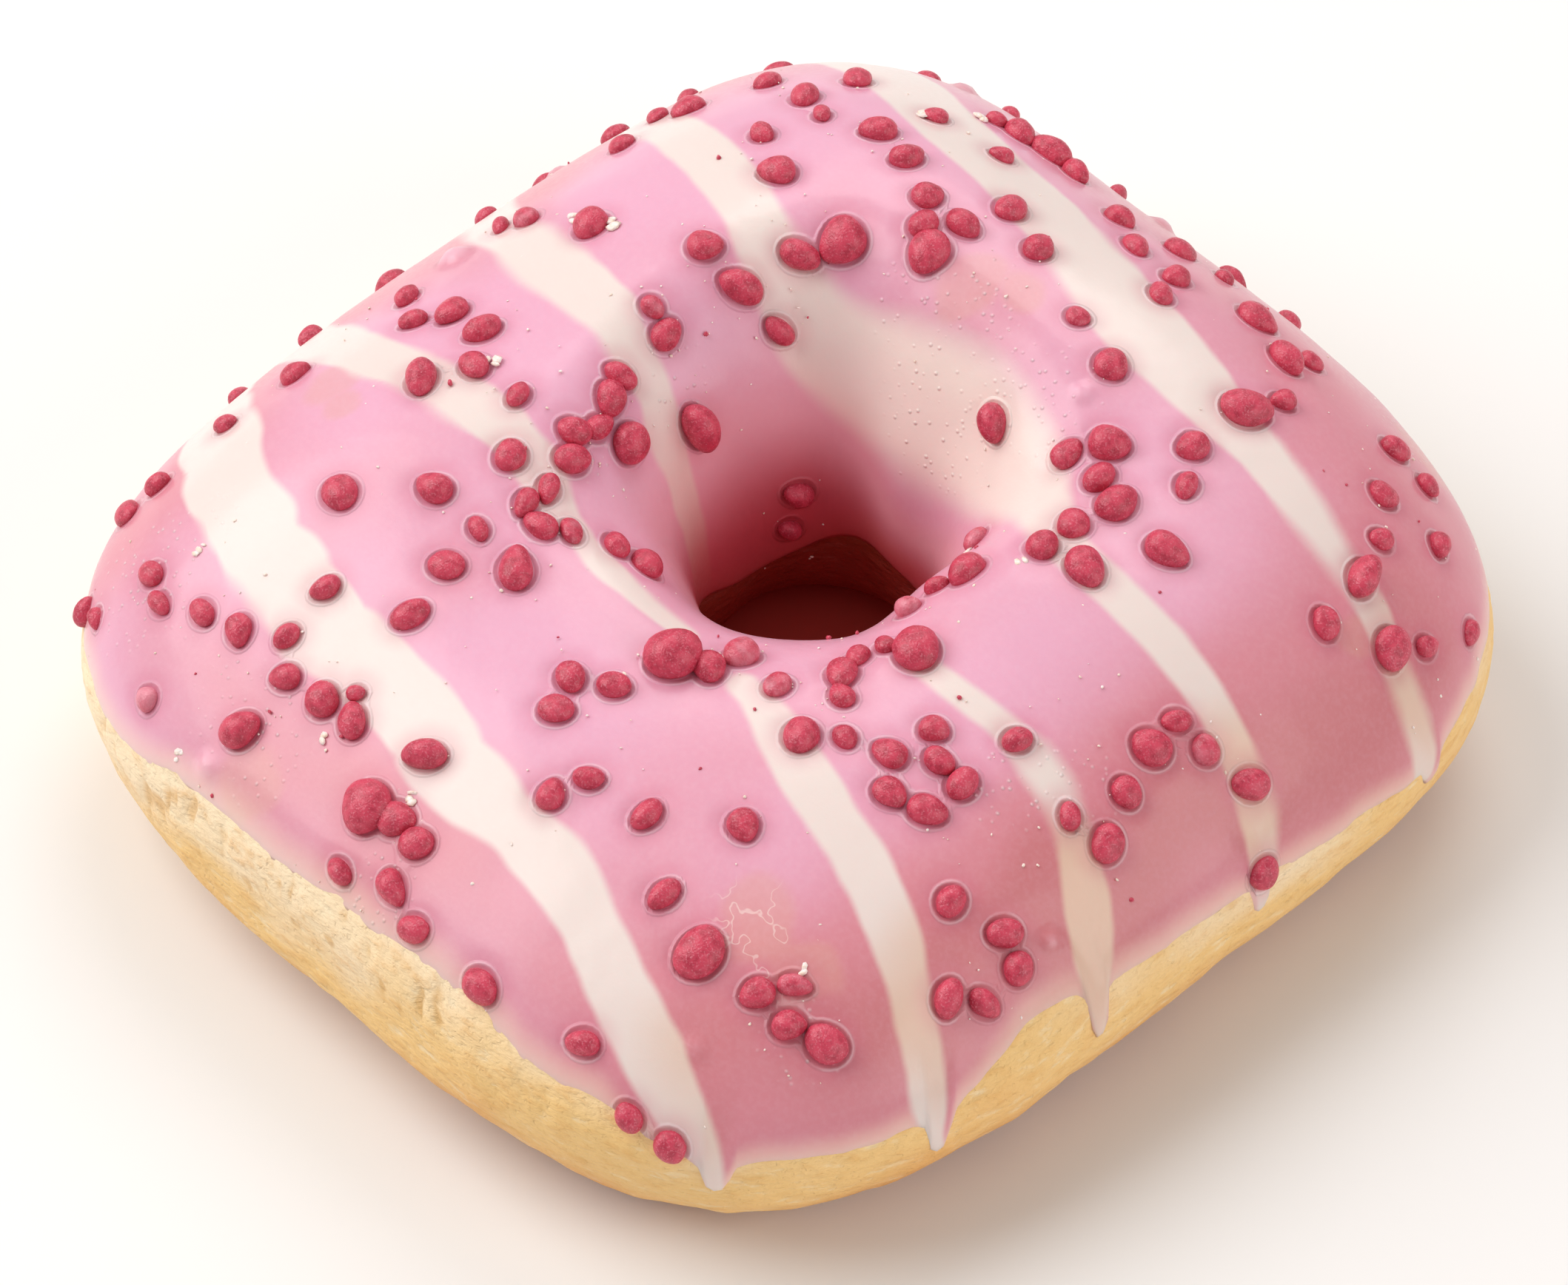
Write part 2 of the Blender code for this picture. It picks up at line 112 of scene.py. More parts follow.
# The granules in view, by region, each as turn, across, length
GRANULES = (
    # left side
    (209, 1.47, 2.4), (215, 1.55, 1.9), (220, 1.66, 2.2), (221, 1.75, 2.5), (229, 1.86, 2.3),
    (231.5, 1.80, 1.8), (232, 1.62, 2.2), (235.5, 1.62, 2.2), (239, 1.55, 2.4), (243, 1.51, 2.5),
    (246.5, 1.45, 2.1), (250.5, 1.50, 2.3), (255.5, 1.48, 2.6), (257.5, 1.43, 1.4), (260, 1.47, 2.8),
    (252, 1.63, 3.2), (242.5, 1.75, 1.9), (243.5, 1.35, 2.3), (231.5, 1.27, 2.8), (234, 1.13, 2.7),
    (243, 1.09, 2.0), (247.5, 1.17, 2.6), (253, 1.08, 3.6), (252.5, 1.27, 2.9), (213.5, 1.19, 3.2),
    (210, 1.12, 2.5), (216, 1.01, 2.1), (229.5, 0.99, 2.5), (201.5, 1.17, 2.9), (198, 1.27, 2.7),
    (200, 1.33, 2.2), (194, 1.43, 2.2), (178, 1.43, 1.9), (176, 1.38, 2.4),
    # near left side
    (269, 1.57, 3.9), (272.5, 1.55, 2.8), (276, 1.56, 2.5), (270.5, 1.71, 2.2), (276.5, 1.66, 2.8),
    (280.5, 1.70, 2.4), (270, 1.43, 3.2), (277, 1.16, 2.4), (283.5, 1.12, 2.4), (279, 1.22, 2.5),
    (286, 1.34, 2.4), (289, 1.28, 2.2),
    # near corner
    (298, 1.28, 2.6), (303, 1.39, 2.6), (308, 1.47, 3.9), (310, 1.25, 2.4), (313.8, 1.53, 2.5),
    (317.2, 1.52, 2.4), (316.8, 1.59, 2.4), (320, 1.64, 3.1), (299.5, 1.70, 2.4), (289, 1.71, 2.8),
    (304.5, 1.84, 2.2), (308, 1.90, 2.4), (316.5, 1.09, 2.8), (323.5, 1.11, 1.9), (323.5, 1.02, 2.1),
    (330, 1.17, 2.6), (337.8, 1.17, 2.1), (336.8, 1.23, 2.4), (338.8, 1.29, 2.6), (329, 1.24, 2.5),
    (333.3, 1.30, 2.8),
    # near right side
    (348.7, 1.28, 2.2), (350.3, 1.46, 2.1), (353, 1.55, 2.8), (358, 1.49, 2.3), (3.9, 1.45, 2.9),
    (8.6, 1.44, 2.2), (9.3, 1.52, 2.2), (333.5, 1.47, 2.4), (338.3, 1.58, 2.6), (338.8, 1.66, 2.4),
    (331.4, 1.64, 2.8), (334.8, 1.69, 2.5), (11.3, 1.64, 2.9), (8.6, 1.88, 2.5), (37.5, 1.51, 3.4),
    (30.5, 1.50, 2.4), (33, 1.64, 3.3), (36, 1.71, 2.0), (41, 1.81, 2.1), (43, 1.52, 2.0),
    (46.5, 1.66, 2.1), (48.5, 1.52, 2.4), (56, 1.59, 2.7), (53.5, 1.66, 2.0),
    # right arm
    (28.2, 1.19, 3.3), (18, 1.10, 3.2), (18.5, 0.98, 2.6), (26.5, 1.01, 2.5), (34, 1.06, 3.3),
    (39, 1.00, 2.6), (46.6, 1.01, 3.0), (45.5, 0.84, 2.5), (47.5, 1.16, 2.5), (40.5, 1.16, 2.2),
    (63.1, 1.06, 2.6), (64.5, 0.61, 2.9), (55, 1.27, 3.9), (57.5, 1.35, 2.0),
    # far right side
    (64.8, 1.42, 3.0), (66, 1.50, 2.0), (72, 1.45, 3.2), (76.1, 1.27, 2.2), (79.5, 1.35, 2.3),
    (74.7, 1.07, 1.8), (81.5, 1.53, 1.9), (86.7, 1.35, 2.3), (86, 1.48, 2.8), (93, 1.41, 2.4),
    (91.8, 1.13, 2.4), (101, 1.17, 2.8), (104.8, 1.05, 2.7), (113.7, 1.06, 2.4), (111.5, 0.97, 2.4),
    (107.5, 0.88, 3.5), (102.5, 1.46, 2.4), (106.5, 1.46, 3.4), (110.5, 1.44, 2.7), (109, 1.30, 1.9),
    (113.5, 1.43, 1.7), (119.3, 1.30, 1.9),
    # far left side
    (120, 1.13, 2.7), (125.8, 1.18, 2.8), (130, 1.37, 2.5), (134, 1.22, 1.8), (136.2, 1.29, 2.7),
    (140, 1.40, 2.4), (142.8, 1.19, 2.1), (142, 1.07, 2.8), (139.5, 0.76, 3.0), (129, 0.80, 3.6),
    (149.5, 1.42, 2.7), (152.5, 1.48, 1.9), (158.5, 1.42, 2.2), (161.5, 0.92, 2.6), (157, 0.73, 3.4),
    (148, 0.57, 2.6), (173.5, 1.21, 2.8),
    # round the hole
    (180.5, 0.85, 1.9), (182, 0.74, 2.5), (200.5, 0.75, 2.6), (208, 0.73, 2.8), (216.5, 0.72, 2.5),
    (215, 0.61, 3.1), (188.5, 0.46, 3.8), (221, 0.79, 2.5), (228, 0.78, 2.8), (237, 0.88, 2.4),
    (240, 0.98, 2.4), (245.5, 0.97, 2.6), (248, 0.87, 2.1), (252, 0.72, 2.2), (257.5, 0.63, 3.0),
    (145.5, 0.16, 2.4), (150, 0.07, 2.1), (289, 1.00, 4.2), (296.5, 0.95, 2.6), (301, 0.82, 2.8),
    (311, 0.95, 2.2), (324, 0.93, 2.8), (328, 0.86, 2.0), (340.5, 0.99, 3.5), (335, 0.86, 1.8),
    (347, 0.70, 2.2), (4, 0.80, 2.9), (357, 0.73, 2.0), (28, 0.53, 2.3),
)
# The two far sides, which carry as many granules as the near ones
FAR_TURNS, FAR_ACROSS, FAR_SPACING, FAR_TRIES = (78, 205), (1.66, 1.84), 6.0, 900
GRANULE_LENGTHS = (1.9, 3.0)
GRANULE_WIDTHS, GRANULE_HEIGHTS = (0.62, 0.92), (0.56, 0.78)
GRANULE_TO_EDGE = 0.05
SUNK_SHARE = 0.42
SEED = 11
GRANULE_ROOM = 0.9
# A granule's shape: taper, bend, and the height and size of its lumps on a ball of radius 1
PEBBLE_TAPER, PEBBLE_BEND = 0.22, 0.12
PEBBLE_LUMPS = ((0.07, 1.0, 0), (0.022, 0.45, 0), (0.008, 0.16, 0))
# The part of its height that counts as its rim, and how many points of the rim are averaged
RIM_BAND, RIM_EVEN = 0.2, 9

# White stripes of icing: turn, across and width along each
STRIPES = {
    "left": (
        (205, 1.80, 6.0), (213, 1.60, 5.5), (221, 1.49, 5.5), (228, 1.44, 5.3), (237, 1.40, 5.6),
        (247, 1.39, 5.6), (254, 1.38, 5.4), (261, 1.38, 4.8), (268, 1.40, 5.0), (274, 1.41, 5.0),
        (280, 1.42, 4.4), (291, 1.43, 4.2), (295, 1.47, 4.2), (300, 1.54, 4.2), (305, 1.65, 4.3),
        (308, 1.76, 3.8), (310, 1.86, 3.0), (311.5, 1.96, 1.8), (311.5, 2.10, 1.4),
    ),
    "left of the hole": (
        (196, 1.75, 4.6), (201, 1.55, 4.4), (207, 1.35, 3.9), (211, 1.22, 3.7), (215, 1.13, 3.5),
        (220, 1.06, 3.8), (225, 0.98, 3.6), (230, 0.92, 3.0), (238, 0.86, 2.6), (250, 0.84, 2.6),
        (267, 0.84, 2.3), (278, 0.83, 1.8), (287, 0.83, 1.2),
    ),
    "near corner": (
        (303, 0.95, 2.4), (310, 1.04, 3.0), (316, 1.13, 3.3), (321, 1.24, 3.6), (325, 1.34, 3.4),
        (327, 1.46, 3.1), (328, 1.60, 3.0), (328.7, 1.78, 3.0), (329, 1.90, 2.4), (329, 1.98, 1.4),
        (329.5, 2.14, 1.1),
    ),
    "into the hole": (
        (170, 1.78, 4.8), (174, 1.58, 4.4), (178, 1.43, 4.4), (182, 1.26, 4.4), (186, 1.10, 4.3),
        (190, 0.90, 3.8), (193.5, 0.68, 2.8), (200, 0.54, 2.8), (206, 0.40, 2.5), (212, 0.24, 2.4),
        (218, 0.08, 2.2),
    ),
    "near right": (
        (339, 1.00, 1.8), (345, 1.15, 2.6), (348.5, 1.25, 2.6), (350, 1.35, 2.7), (350.5, 1.44, 2.9),
        (349, 1.56, 3.2), (347.5, 1.68, 3.3), (346.5, 1.80, 2.6), (346.3, 1.92, 1.7), (346.5, 2.04, 1.1),
    ),
    "through the hole": (
        (156, 1.72, 4.4), (154, 1.45, 4.2), (152, 1.25, 4.2), (150, 1.06, 4.4), (147, 0.80, 4.6),
        (142, 0.60, 5.2), (130, 0.50, 6.4), (112, 0.46, 9.0), (90, 0.48, 11.0), (66, 0.52, 10.0),
        (44, 0.64, 7.0), (30, 0.82, 3.6), (21, 1.02, 3.0), (17, 1.16, 3.0), (15, 1.33, 3.0),
        (13.5, 1.46, 2.9), (11, 1.64, 2.7), (8.5, 1.85, 2.2), (8.3, 2.02, 1.3),
    ),
    "far": (
        (140, 1.80, 6.0), (131, 1.55, 6.4), (122, 1.33, 6.6), (113, 1.27, 6.4), (104, 1.25, 6.4),
        (94, 1.23, 6.4), (84, 1.21, 6.6), (76, 1.17, 6.8), (68, 1.17, 7.0), (61, 1.19, 6.2),
        (55, 1.21, 5.0), (50, 1.26, 3.8), (44, 1.33, 3.1), (38, 1.46, 2.8), (33, 1.62, 2.6),
        (30.5, 1.77, 2.6), (29.5, 1.88, 2.4), (29, 2.02, 1.6),
    ),
}
STRIPE_POINTS = 10
STRIPE_WAVES = ((0.38, 4.2, 29.4), (0.10, 1.5, 10.5))
# Round lobes along the left stripe: height, size, and the turns that they fade over
LOBES, LOBE_TURN, LOBE_TURNS = ((1.3, 3.8, 90),), 240, 38
# Half the width of a stripe's soft edge, and how much softer it is on the hole's far wall
FEATHER, FEATHER_SWELL, WASH_FEATHER = 0.34, 0.5, 2.4
FEATHER_LAYER, FEATHER_SWELLS_OVER = ((1, 7.0, 61),), (0.1, 0.8)
# The white washed wide on the hole's far wall is brighter than the stripes' white, as painted light on
# that shaded wall
WASH_TURN, WASH_TURNS, WASH_ACROSS, WASHED = 80, 44, (0.6, 1.05), 0.8

# Relief of the icing: its waves, and the shape near its edge and near granules
ICING_WAVES = ((0.14, 9.0, 180), (0.05, 3.5, 70), (0.012, 0.9, 18))
WAVES_GROW_OVER = 3.0
EDGE_ROUNDING, EDGE_DROP = 0.9, 0.26
BEAD_HEIGHT, BEAD_PLACE, BEAD_WIDTH = 0.12, 1.5, 1.0
DIMPLE_DEPTH, DIMPLE_WIDTH = 0.06, 0.9
MM_PER_ACROSS_OUTSIDE, MM_PER_ACROSS_IN_HOLE = 13, 14
# Patches where the icing is pitted by fine bubbles: turn, across, radius
BUBBLY = (
    (95, 0.72, 6.0), (60, 0.80, 4.5), (80, 0.45, 5.0), (232, 1.62, 6.0), (252, 1.60, 5.0),
    (222, 0.70, 3.0), (190, 0.60, 3.0), (345, 1.36, 4.0), (352, 1.42, 3.5), (275, 1.66, 4.0),
    (318, 1.62, 3.0), (150, 1.72, 5.0), (60, 1.75, 5.0),
)
# Granules that the icing covers: turn, across, radius, height
COATED = (
    (252, 1.75, 1.2, 0.35), (343, 1.65, 0.9, 0.30), (309, 1.64, 0.9, 0.25), (185, 1.45, 1.5, 0.7),
    (58, 0.95, 1.0, 0.25), (120, 1.62, 1.2, 0.5),
    (95, 1.66, 1.2, 0.5), (162, 1.70, 1.2, 0.5),
)
COATED_FADE = (0.2, 1.15)
# Places where the icing is thin and the crust shows through: turn, across, radius
THIN_PATCHES = (
    (213, 1.36, 2.6), (217, 1.30, 1.6), (313, 1.40, 3.4), (318, 1.50, 2.6), (96, 0.90, 3.2),
    (85, 1.02, 2.2), (60, 1.75, 3.0), (150, 1.62, 4.0), (256, 1.70, 3.0), (32, 1.56, 2.2),
)
CRACKLED = ((312, 1.40, 3.2), (316, 1.47, 2.4))
PATCH_FADE, PATCH_RAGS = (0.5, 1.2), ((0.35, 2.2, 71),)
# How thin the icing looks: on its curved sides, less so at its edge, and in slow blotches
THIN_SIDE, THIN_SIDE_FROM, THIN_EVERYWHERE = 0.72, (1.22, 1.65), 0.12
THICK_EDGE, THICK_EDGE_WIDTH = 0.45, 4.0
THIN_BLOTCHES = ((0.30, 13.0, 11), (0.15, 5.0, 23))
# Painted light and shade: the thin icing is rosier on the shaded right side and paler on the lit left:
# turn, turns to fade over, how much
SIDE_SHADE = ((352, 46, 0.52), (245, 42, -0.40))
SIDE_SHADE_ACROSS = (1.1, 1.5)
# Granules that wear a pale film of icing: turn, across, and how much
FROSTED = (
    (242.5, 1.75, 0.8), (317.2, 1.52, 0.5), (301, 0.82, 0.6), (311, 0.95, 0.5), (180.5, 0.85, 0.5),
    (279, 1.22, 0.4), (298, 1.28, 0.3), (248, 0.87, 0.4), (347, 0.70, 0.7), (28, 0.53, 0.6),
    (74.7, 1.07, 0.5), (337.8, 1.17, 0.4), (134, 1.22, 0.3), (176, 1.38, 0.5), (9.3, 1.52, 0.5),
)
LIGHT_FILM, CRUMB_FILM, SAME_ACROSS = 0.25, 0.3, 0.03

# Relief of the dough: its lumps, larger low down, and the dents of its underside
DOUGH_LUMPS = ((0.22, 8.5, 85), (0.15, 4.0, 40), (0.07, 1.6, 16))
LOWER_LUMPS, LUMPS_GROW_OVER = 0.8, (2.1, 2.4)
BASE_STATIONS, BASE_RELIEF = 14, 0.35
BASE_DENTS, BASE_DENTED = ((1.0, 5.0, 0), (0.4, 1.8, 0)), 0.1
# Torn pores of the belt under the icing, drawn out along it, and the turn and turns of the torn side
PORE_DEPTH, PORE_SIZE, FINE_PORE_SIZE = 0.32, 0.8, 0.45
PORE_SQUASH, PORE_WARP = np.array([1, 1, 0.5]), ((0.5, 1.3, 0),)
TORN_SIDE, TORN_ELSEWHERE = (262, 34), 0.25
PORES_FROM, PORES_TO = (-0.04, 0.03), (0.10, 0.30)
# How brown the dough is: blotches and a browner side, and painted shade that browns the wall of the hole
DOUGH_BLOTCHES = ((0.20, 11.0, 0), (0.12, 4.0, 40))
DOUGH_BROWNER, DOUGH_BROWNEST_TURN = 0.20, 20
# Painted shade browns the hole's wall; the underside is baked brown
HOLE_PAINTED_SHADE, BASE_BAKED = 1.1, 1.2
BELT_STRETCH = 2.4

# Crumbs: count, sizes, and how far from the granules most of them lie
RED_CRUMBS, SUGAR_CRUMBS = 36, 460
RED_CRUMB_SIZES, SUGAR_CRUMB_SIZES = (0.18, 0.6), (0.10, 0.34)
RED_CRUMB_HEIGHT, SUGAR_CRUMB_HEIGHT, FLAKE_HEIGHT = 0.7, 0.6, 0.35
CRUMBS_NEAR_GRANULES, CRUMB_SPREAD, MM_PER_ACROSS_ON_TOP = 0.7, 2.2, 25
CRUMBS_ACROSS, CRUMB_TO_EDGE = (0.5, 1.85), 0.03
CRUMB_WIDTHS, CRUMB_JAGS = (0.5, 0.9), ((0.35, 0.8, 0),)
# Larger flakes of sugar, each in a few bits: turn, across, length
FLAKE_BITS, FLAKE_SPREAD, FLAKE_ACROSS_SPREAD, FLAKE_BIT_LENGTHS = 3, 0.4, 0.015, (0.5, 0.9)
FLAKES = (
    (171.5, 1.17, 1.3), (174, 1.27, 1.0), (208.5, 1.10, 1.2), (121, 1.29, 1.6), (115, 1.39, 1.2),
    (227, 0.80, 0.9), (272.5, 1.50, 1.0), (283.5, 1.10, 0.8), (249, 1.78, 0.8), (20, 0.57, 1.1),
    (12, 0.96, 0.9), (317.5, 1.50, 1.0), (299, 0.86, 1.1), (232, 1.52, 0.8), (259, 1.52, 0.8),
)

# Sizes and heights of the fine relief in the materials
GRAIN_SIZE, GRAIN_HEIGHT, VEIN_SIZE = 0.42, 0.012, 3.6
DROPLET_SIZE, DROPLET_HEIGHT = 0.72, 0.10
LIP_PLACE, LIP_HALF_WIDTH, LIP_HEIGHT = 0.34, 0.22, 0.09
TROUGH_WIDTH, TROUGH_DEPTH = 0.18, 0.05
STREAK_SIZE, STREAK_HEIGHT, PIT_SIZE, PIT_DEPTH = 2.2, 0.55, 0.40, 0.06
TINT_SIZE, TINT_HEIGHT, DUST_SIZE, DUST_HEIGHT, FILM_SIZE = 0.7, 0.08, 0.14, 0.05, 1.1
SUGAR_GRIT_SIZE, SUGAR_GRIT_HEIGHT = 0.25, 0.08

# Mesh density
ICING_TURNS, ICING_TOP, ICING_UNDER = 600, 148, 9
DOUGH_TURNS, DOUGH_STATIONS = 480, 120
GRANULE_SEGMENTS, GRANULE_RINGS = 24, 16
CRUMB_SEGMENTS, CRUMB_RINGS = 7, 5
FAR_AWAY = 9.0
NOISE_SEED, NOISE_LATTICE, NOISE_REACH = 5, 32, 90
SKIN_STEP, TURN_STEP, ACROSS_STEP = 0.002, 0.2, 0.01


def smooth(low, high, value):
    """0 below low, 1 above high, and an even S between them."""
    share = np.clip((value - low) / (high - low), 0, 1)
    return share * share * (3 - 2 * share)


LATTICE = np.random.default_rng(NOISE_SEED).uniform(-1, 1, (NOISE_LATTICE,) * 3)


def noise(points, size):
    """Smooth noise from -1 to 1 at points, with bumps of the given size."""
    place = np.asarray(points, float) / size
    cell = np.floor(place).astype(int)
    share = smooth(0, 1, place - cell)
    value = np.zeros(place.shape[:-1])
    for corner in itertools.product((0, 1), repeat=3):
        weight = np.prod(np.where(corner, share, 1 - share), axis=-1)
        index = (cell + corner) % NOISE_LATTICE
        value += weight * LATTICE[index[..., 0], index[..., 1], index[..., 2]]
    return value


def layered(points, layers):
    """Layers of noise added up."""
    return sum(height * noise(points + shift, size) for height, size, shift in layers)


def around(turn, middle, turns):
    """1 at the middle turn, fading to nothing over a number of turns on both sides."""
    return np.exp(-(((turn - middle + 180) % 360 - 180) / turns) ** 2)


# The skin, as in the solids


def outline(turn, half_x, half_y, squareness):
    """Distance from the middle to a rounded square, along the turn in radians."""
    across_x = np.abs(np.cos(turn) / half_x) ** squareness
    across_y = np.abs(np.sin(turn) / half_y) ** squareness
    return (across_x + across_y) ** (-1 / squareness)


def quarter(progress, bulge):
    """How far a quarter of a superellipse has gone out, and how much height it has left."""
    angle = progress * math.pi / 2
    return np.abs(np.sin(angle)) ** (2 / bulge), np.abs(np.cos(angle)) ** (2 / bulge)


def section(turn, across, span):
    """Place along a section: the distance out from the throat, and the height."""
    crest = CREST_HEIGHT * (1 + CREST_LEAN[0] * np.cos(turn) + CREST_LEAN[1] * np.sin(turn))
    base_in, left_in = quarter(np.clip(-across, 0, 1), BASE_BULGE)
    inner, up_in = quarter(np.clip(1 - across, 0, 1), INNER_BULGE)
    outer, up_out = quarter(np.clip(across - 1, 0, 1), OUTER_BULGE)
    base_out, left_out = quarter(np.clip(across - 2, 0, 1), BASE_BULGE)
    zones = [across < 0, across < 1, across < 2]
    out = np.select(
        zones,
        [INNER_TUCK * (1 - left_in), span * CREST_AT * (1 - inner),
         span * (CREST_AT + (1 - CREST_AT) * outer)],
        span - OUTER_TUCK * (1 - left_out))
    height = np.select(
        zones,
        [THROAT_HEIGHT * (1 - base_in), THROAT_HEIGHT + (crest - THROAT_HEIGHT) * up_in,
         GIRTH_HEIGHT + (crest - GIRTH_HEIGHT) * up_out],
        GIRTH_HEIGHT * (1 - base_out))
    return out, height


def swell(turn, across):
    """Slow unevenness of the skin, fading to nothing at the base."""
    waves = sum(
        height * np.cos(ringwise * turn + crosswise * across + phase)
        for height, ringwise, crosswise, phase in SWELLS)
    return waves * smooth(-1, 0, across) * (1 - smooth(2, 3, across))


def skin(turn_deg, across, depth=0.0):
    """Points of the doughnut's skin, moved inwards by a depth."""
    turn = np.radians(np.asarray(turn_deg, float))
    across = np.asarray(across, float)
    ray = np.stack([np.cos(turn), np.sin(turn)], -1)
    throat = ray * outline(turn, HOLE_RADIUS, HOLE_RADIUS, HOLE_SQUARENESS)[..., None] + HOLE_CENTRE
    girth = ray * outline(turn, HALF_X, HALF_Y, OUTER_SQUARENESS)[..., None]
    span = np.linalg.norm(girth - throat, axis=-1)
    way = (girth - throat) / span[..., None]
    out, height = section(turn, across, span)
    out_a, height_a = section(turn, np.clip(across - SKIN_STEP, -1, 3), span)
    out_b, height_b = section(turn, np.clip(across + SKIN_STEP, -1, 3), span)
    rise, run = height_b - height_a, out_b - out_a
    length = np.hypot(rise, run)
    inwards = np.asarray(depth, float) - swell(turn, across)
    out = out + inwards * rise / length
    height = np.maximum(height - inwards * run / length, 0)
    place = throat + way * out[..., None]
    return np.concatenate([place, height[..., None]], -1)


def lying_at(turn, across, heading):
    """A point of the skin, and what lies there: the ways of its length, width and height."""
    ringwise = skin(turn + TURN_STEP, across) - skin(turn - TURN_STEP, across)
    crosswise = skin(turn, across + ACROSS_STEP) - skin(turn, across - ACROSS_STEP)
    normal = np.cross(crosswise, ringwise)
    normal, tangent = normal / np.linalg.norm(normal), ringwise / np.linalg.norm(ringwise)
    length_way = tangent * math.cos(heading) + np.cross(normal, tangent) * math.sin(heading)
    return skin(turn, across), np.array([length_way, np.cross(normal, length_way), normal])


def mm_per_degree(turn, across):
    """How long one degree of turn is on the skin."""
    return float(np.linalg.norm(skin(turn + 0.5, across) - skin(turn - 0.5, across)))


def edge_across(turn_deg):
    """Lower edge of the icing outside without its drips, smooth all round."""
    turns, edges = zip(*OUTER_EDGE)
    turns = np.array(turns + (turns[0] + 360,), float)
    edges = np.array(edges + (edges[0],), float)
    turn = np.mod(np.asarray(turn_deg, float), 360)
    index = np.clip(np.searchsorted(turns, turn, side="right") - 1, 0, len(turns) - 2)
    share = smooth(turns[index], turns[index + 1], turn)
    return edges[index] + (edges[index + 1] - edges[index]) * share


def ragged_edge_across(turn_deg):
    """The same edge with its small waves and its drips."""
    turn = np.asarray(turn_deg, float)
    edge = edge_across(turn)
    rim = skin(turn, edge)
    ragged = edge + layered(rim, EDGE_WAVES)
    for drip_turn, lowest, width in DRIPS:
        offset = (turn - drip_turn + 180) % 360 - 180
        offset = np.abs(offset) * mm_per_degree(drip_turn, lowest) / (width / 2)
        tip = np.sqrt(1 - np.clip(offset, 0, 1) ** 2)
        shoulder = DRIP_SHOULDER * np.exp(-offset ** 2)
        ragged = ragged + (lowest - ragged) * np.maximum(tip, shoulder)
    return ragged


def icing_across(turn, share):
    """Places from the hole's edge of the icing, at share 0, to its ragged edge outside, at share 1."""
    start, even, ragged = hole_edge_across(turn), edge_across(turn), ragged_edge_across(turn)
    return start + (even - start) * share + (ragged - even) * smooth(RAGGED_FROM, 1, share)


def hole_edge_across(turn_deg):
    """Lower edge of the icing inside the hole."""
    turn = np.radians(np.asarray(turn_deg, float))
    return HOLE_EDGE_WAVE * np.cos(HOLE_EDGE_WAVES * turn + HOLE_EDGE_PHASE)


# Granules, by the same seeded rule as in the solids


def granule(draw, turn, across, length):
    """One granule: where it lies, its length, width and height, and its heading."""
    lowest = float(edge_across(turn)) - GRANULE_TO_EDGE
    return {
        "turn": turn % 360,
        "across": min(across, lowest),
        "length": length,
        "width": length * draw.uniform(*GRANULE_WIDTHS),
        "height": length * draw.uniform(*GRANULE_HEIGHTS),
        "heading": draw.uniform(0, math.pi),
    }


def granules_on_far_sides(draw, placed):
    """Granules spread evenly: each keeps its distance from all that are there already."""
    taken = [Vector(skin(item["turn"], item["across"])) for item in placed]
    for _ in range(FAR_TRIES):
        turn, across = draw.uniform(*FAR_TURNS), draw.uniform(*FAR_ACROSS)
        length = draw.uniform(*GRANULE_LENGTHS)
        point = Vector(skin(turn, across))
        if all((point - other).length > FAR_SPACING for other in taken):
            taken.append(point)
            yield granule(draw, turn, across, length)


def all_granules():
    """Those in view, and then the far sides' own."""
    draw = random.Random(SEED)
    placed = [granule(draw, *place) for place in GRANULES]
    placed += list(granules_on_far_sides(draw, placed))
    return placed


def lumpy(unit, draw, lumps):
    """The points of a ball with lumps of its own, from a place in the noise that is drawn."""
    seat = np.array([draw.uniform(0, NOISE_REACH) for _ in range(3)])
    return unit * (1 + layered(unit + seat, lumps))[:, None]


def pebble(unit, draw):
    """An uneven pebble from the points of a ball: an egg or a bean, with low lumps."""
    points = lumpy(unit, draw, PEBBLE_LUMPS)
    lean, bend = draw.uniform(-PEBBLE_TAPER, PEBBLE_TAPER), draw.uniform(-PEBBLE_BEND, PEBBLE_BEND)
    points[:, 1:] *= 1 + lean * points[:, :1]
    points[:, 1] += bend * points[:, 0] ** 2
    middle = (points.max(axis=0) + points.min(axis=0)) / 2
    return (points - middle) / np.abs(points - middle).max(axis=0)


def shaped_granules(granules):
    """Each granule with its points, and its outline where it meets the icing."""
    draw = random.Random(SEED + 1)
    unit, faces = ball(GRANULE_SEGMENTS, GRANULE_RINGS)
    for item in granules:
        point, ways = lying_at(item["turn"], item["across"], item["heading"])
        halves = np.array([item["length"], item["width"], item["height"]]) / 2
        waterline = min(item["height"] * SUNK_SHARE, GRANULE_ROOM) - halves[2]
        centre = point - ways[2] * waterline
        local = pebble(unit, draw) * halves
        rim = local[np.abs(local[:, 2] - waterline) < halves[2] * RIM_BAND]
        angle = np.arctan2(rim[:, 1], rim[:, 0])
        order = np.argsort(angle)
        reach = np.pad(np.hypot(rim[:, 0], rim[:, 1])[order], RIM_EVEN // 2, mode="wrap")
        item["centre"], item["ways"], item["points"] = centre, ways, centre + local @ ways
        item["rim"] = angle[order], np.convolve(reach, np.ones(RIM_EVEN) / RIM_EVEN, mode="valid")
    return faces


# Meshes


def frame_shift():
    """The step from the outline's middle to the frame's origin, found from the dough's own box."""
    turn, across = np.meshgrid(np.arange(0, 360, 1.0), (1.6, 1.8, 2.0, 2.2), indexing="ij")
    belt = skin(turn, across)
    low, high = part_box("dough")
    middle = (Vector(low) + Vector(high)) / 2 / MM
    return np.array([
        middle.x - (belt[..., 0].min() + belt[..., 0].max()) / 2,
        middle.y - (belt[..., 1].min() + belt[..., 1].max()) / 2, 0])


SHIFT = frame_shift()


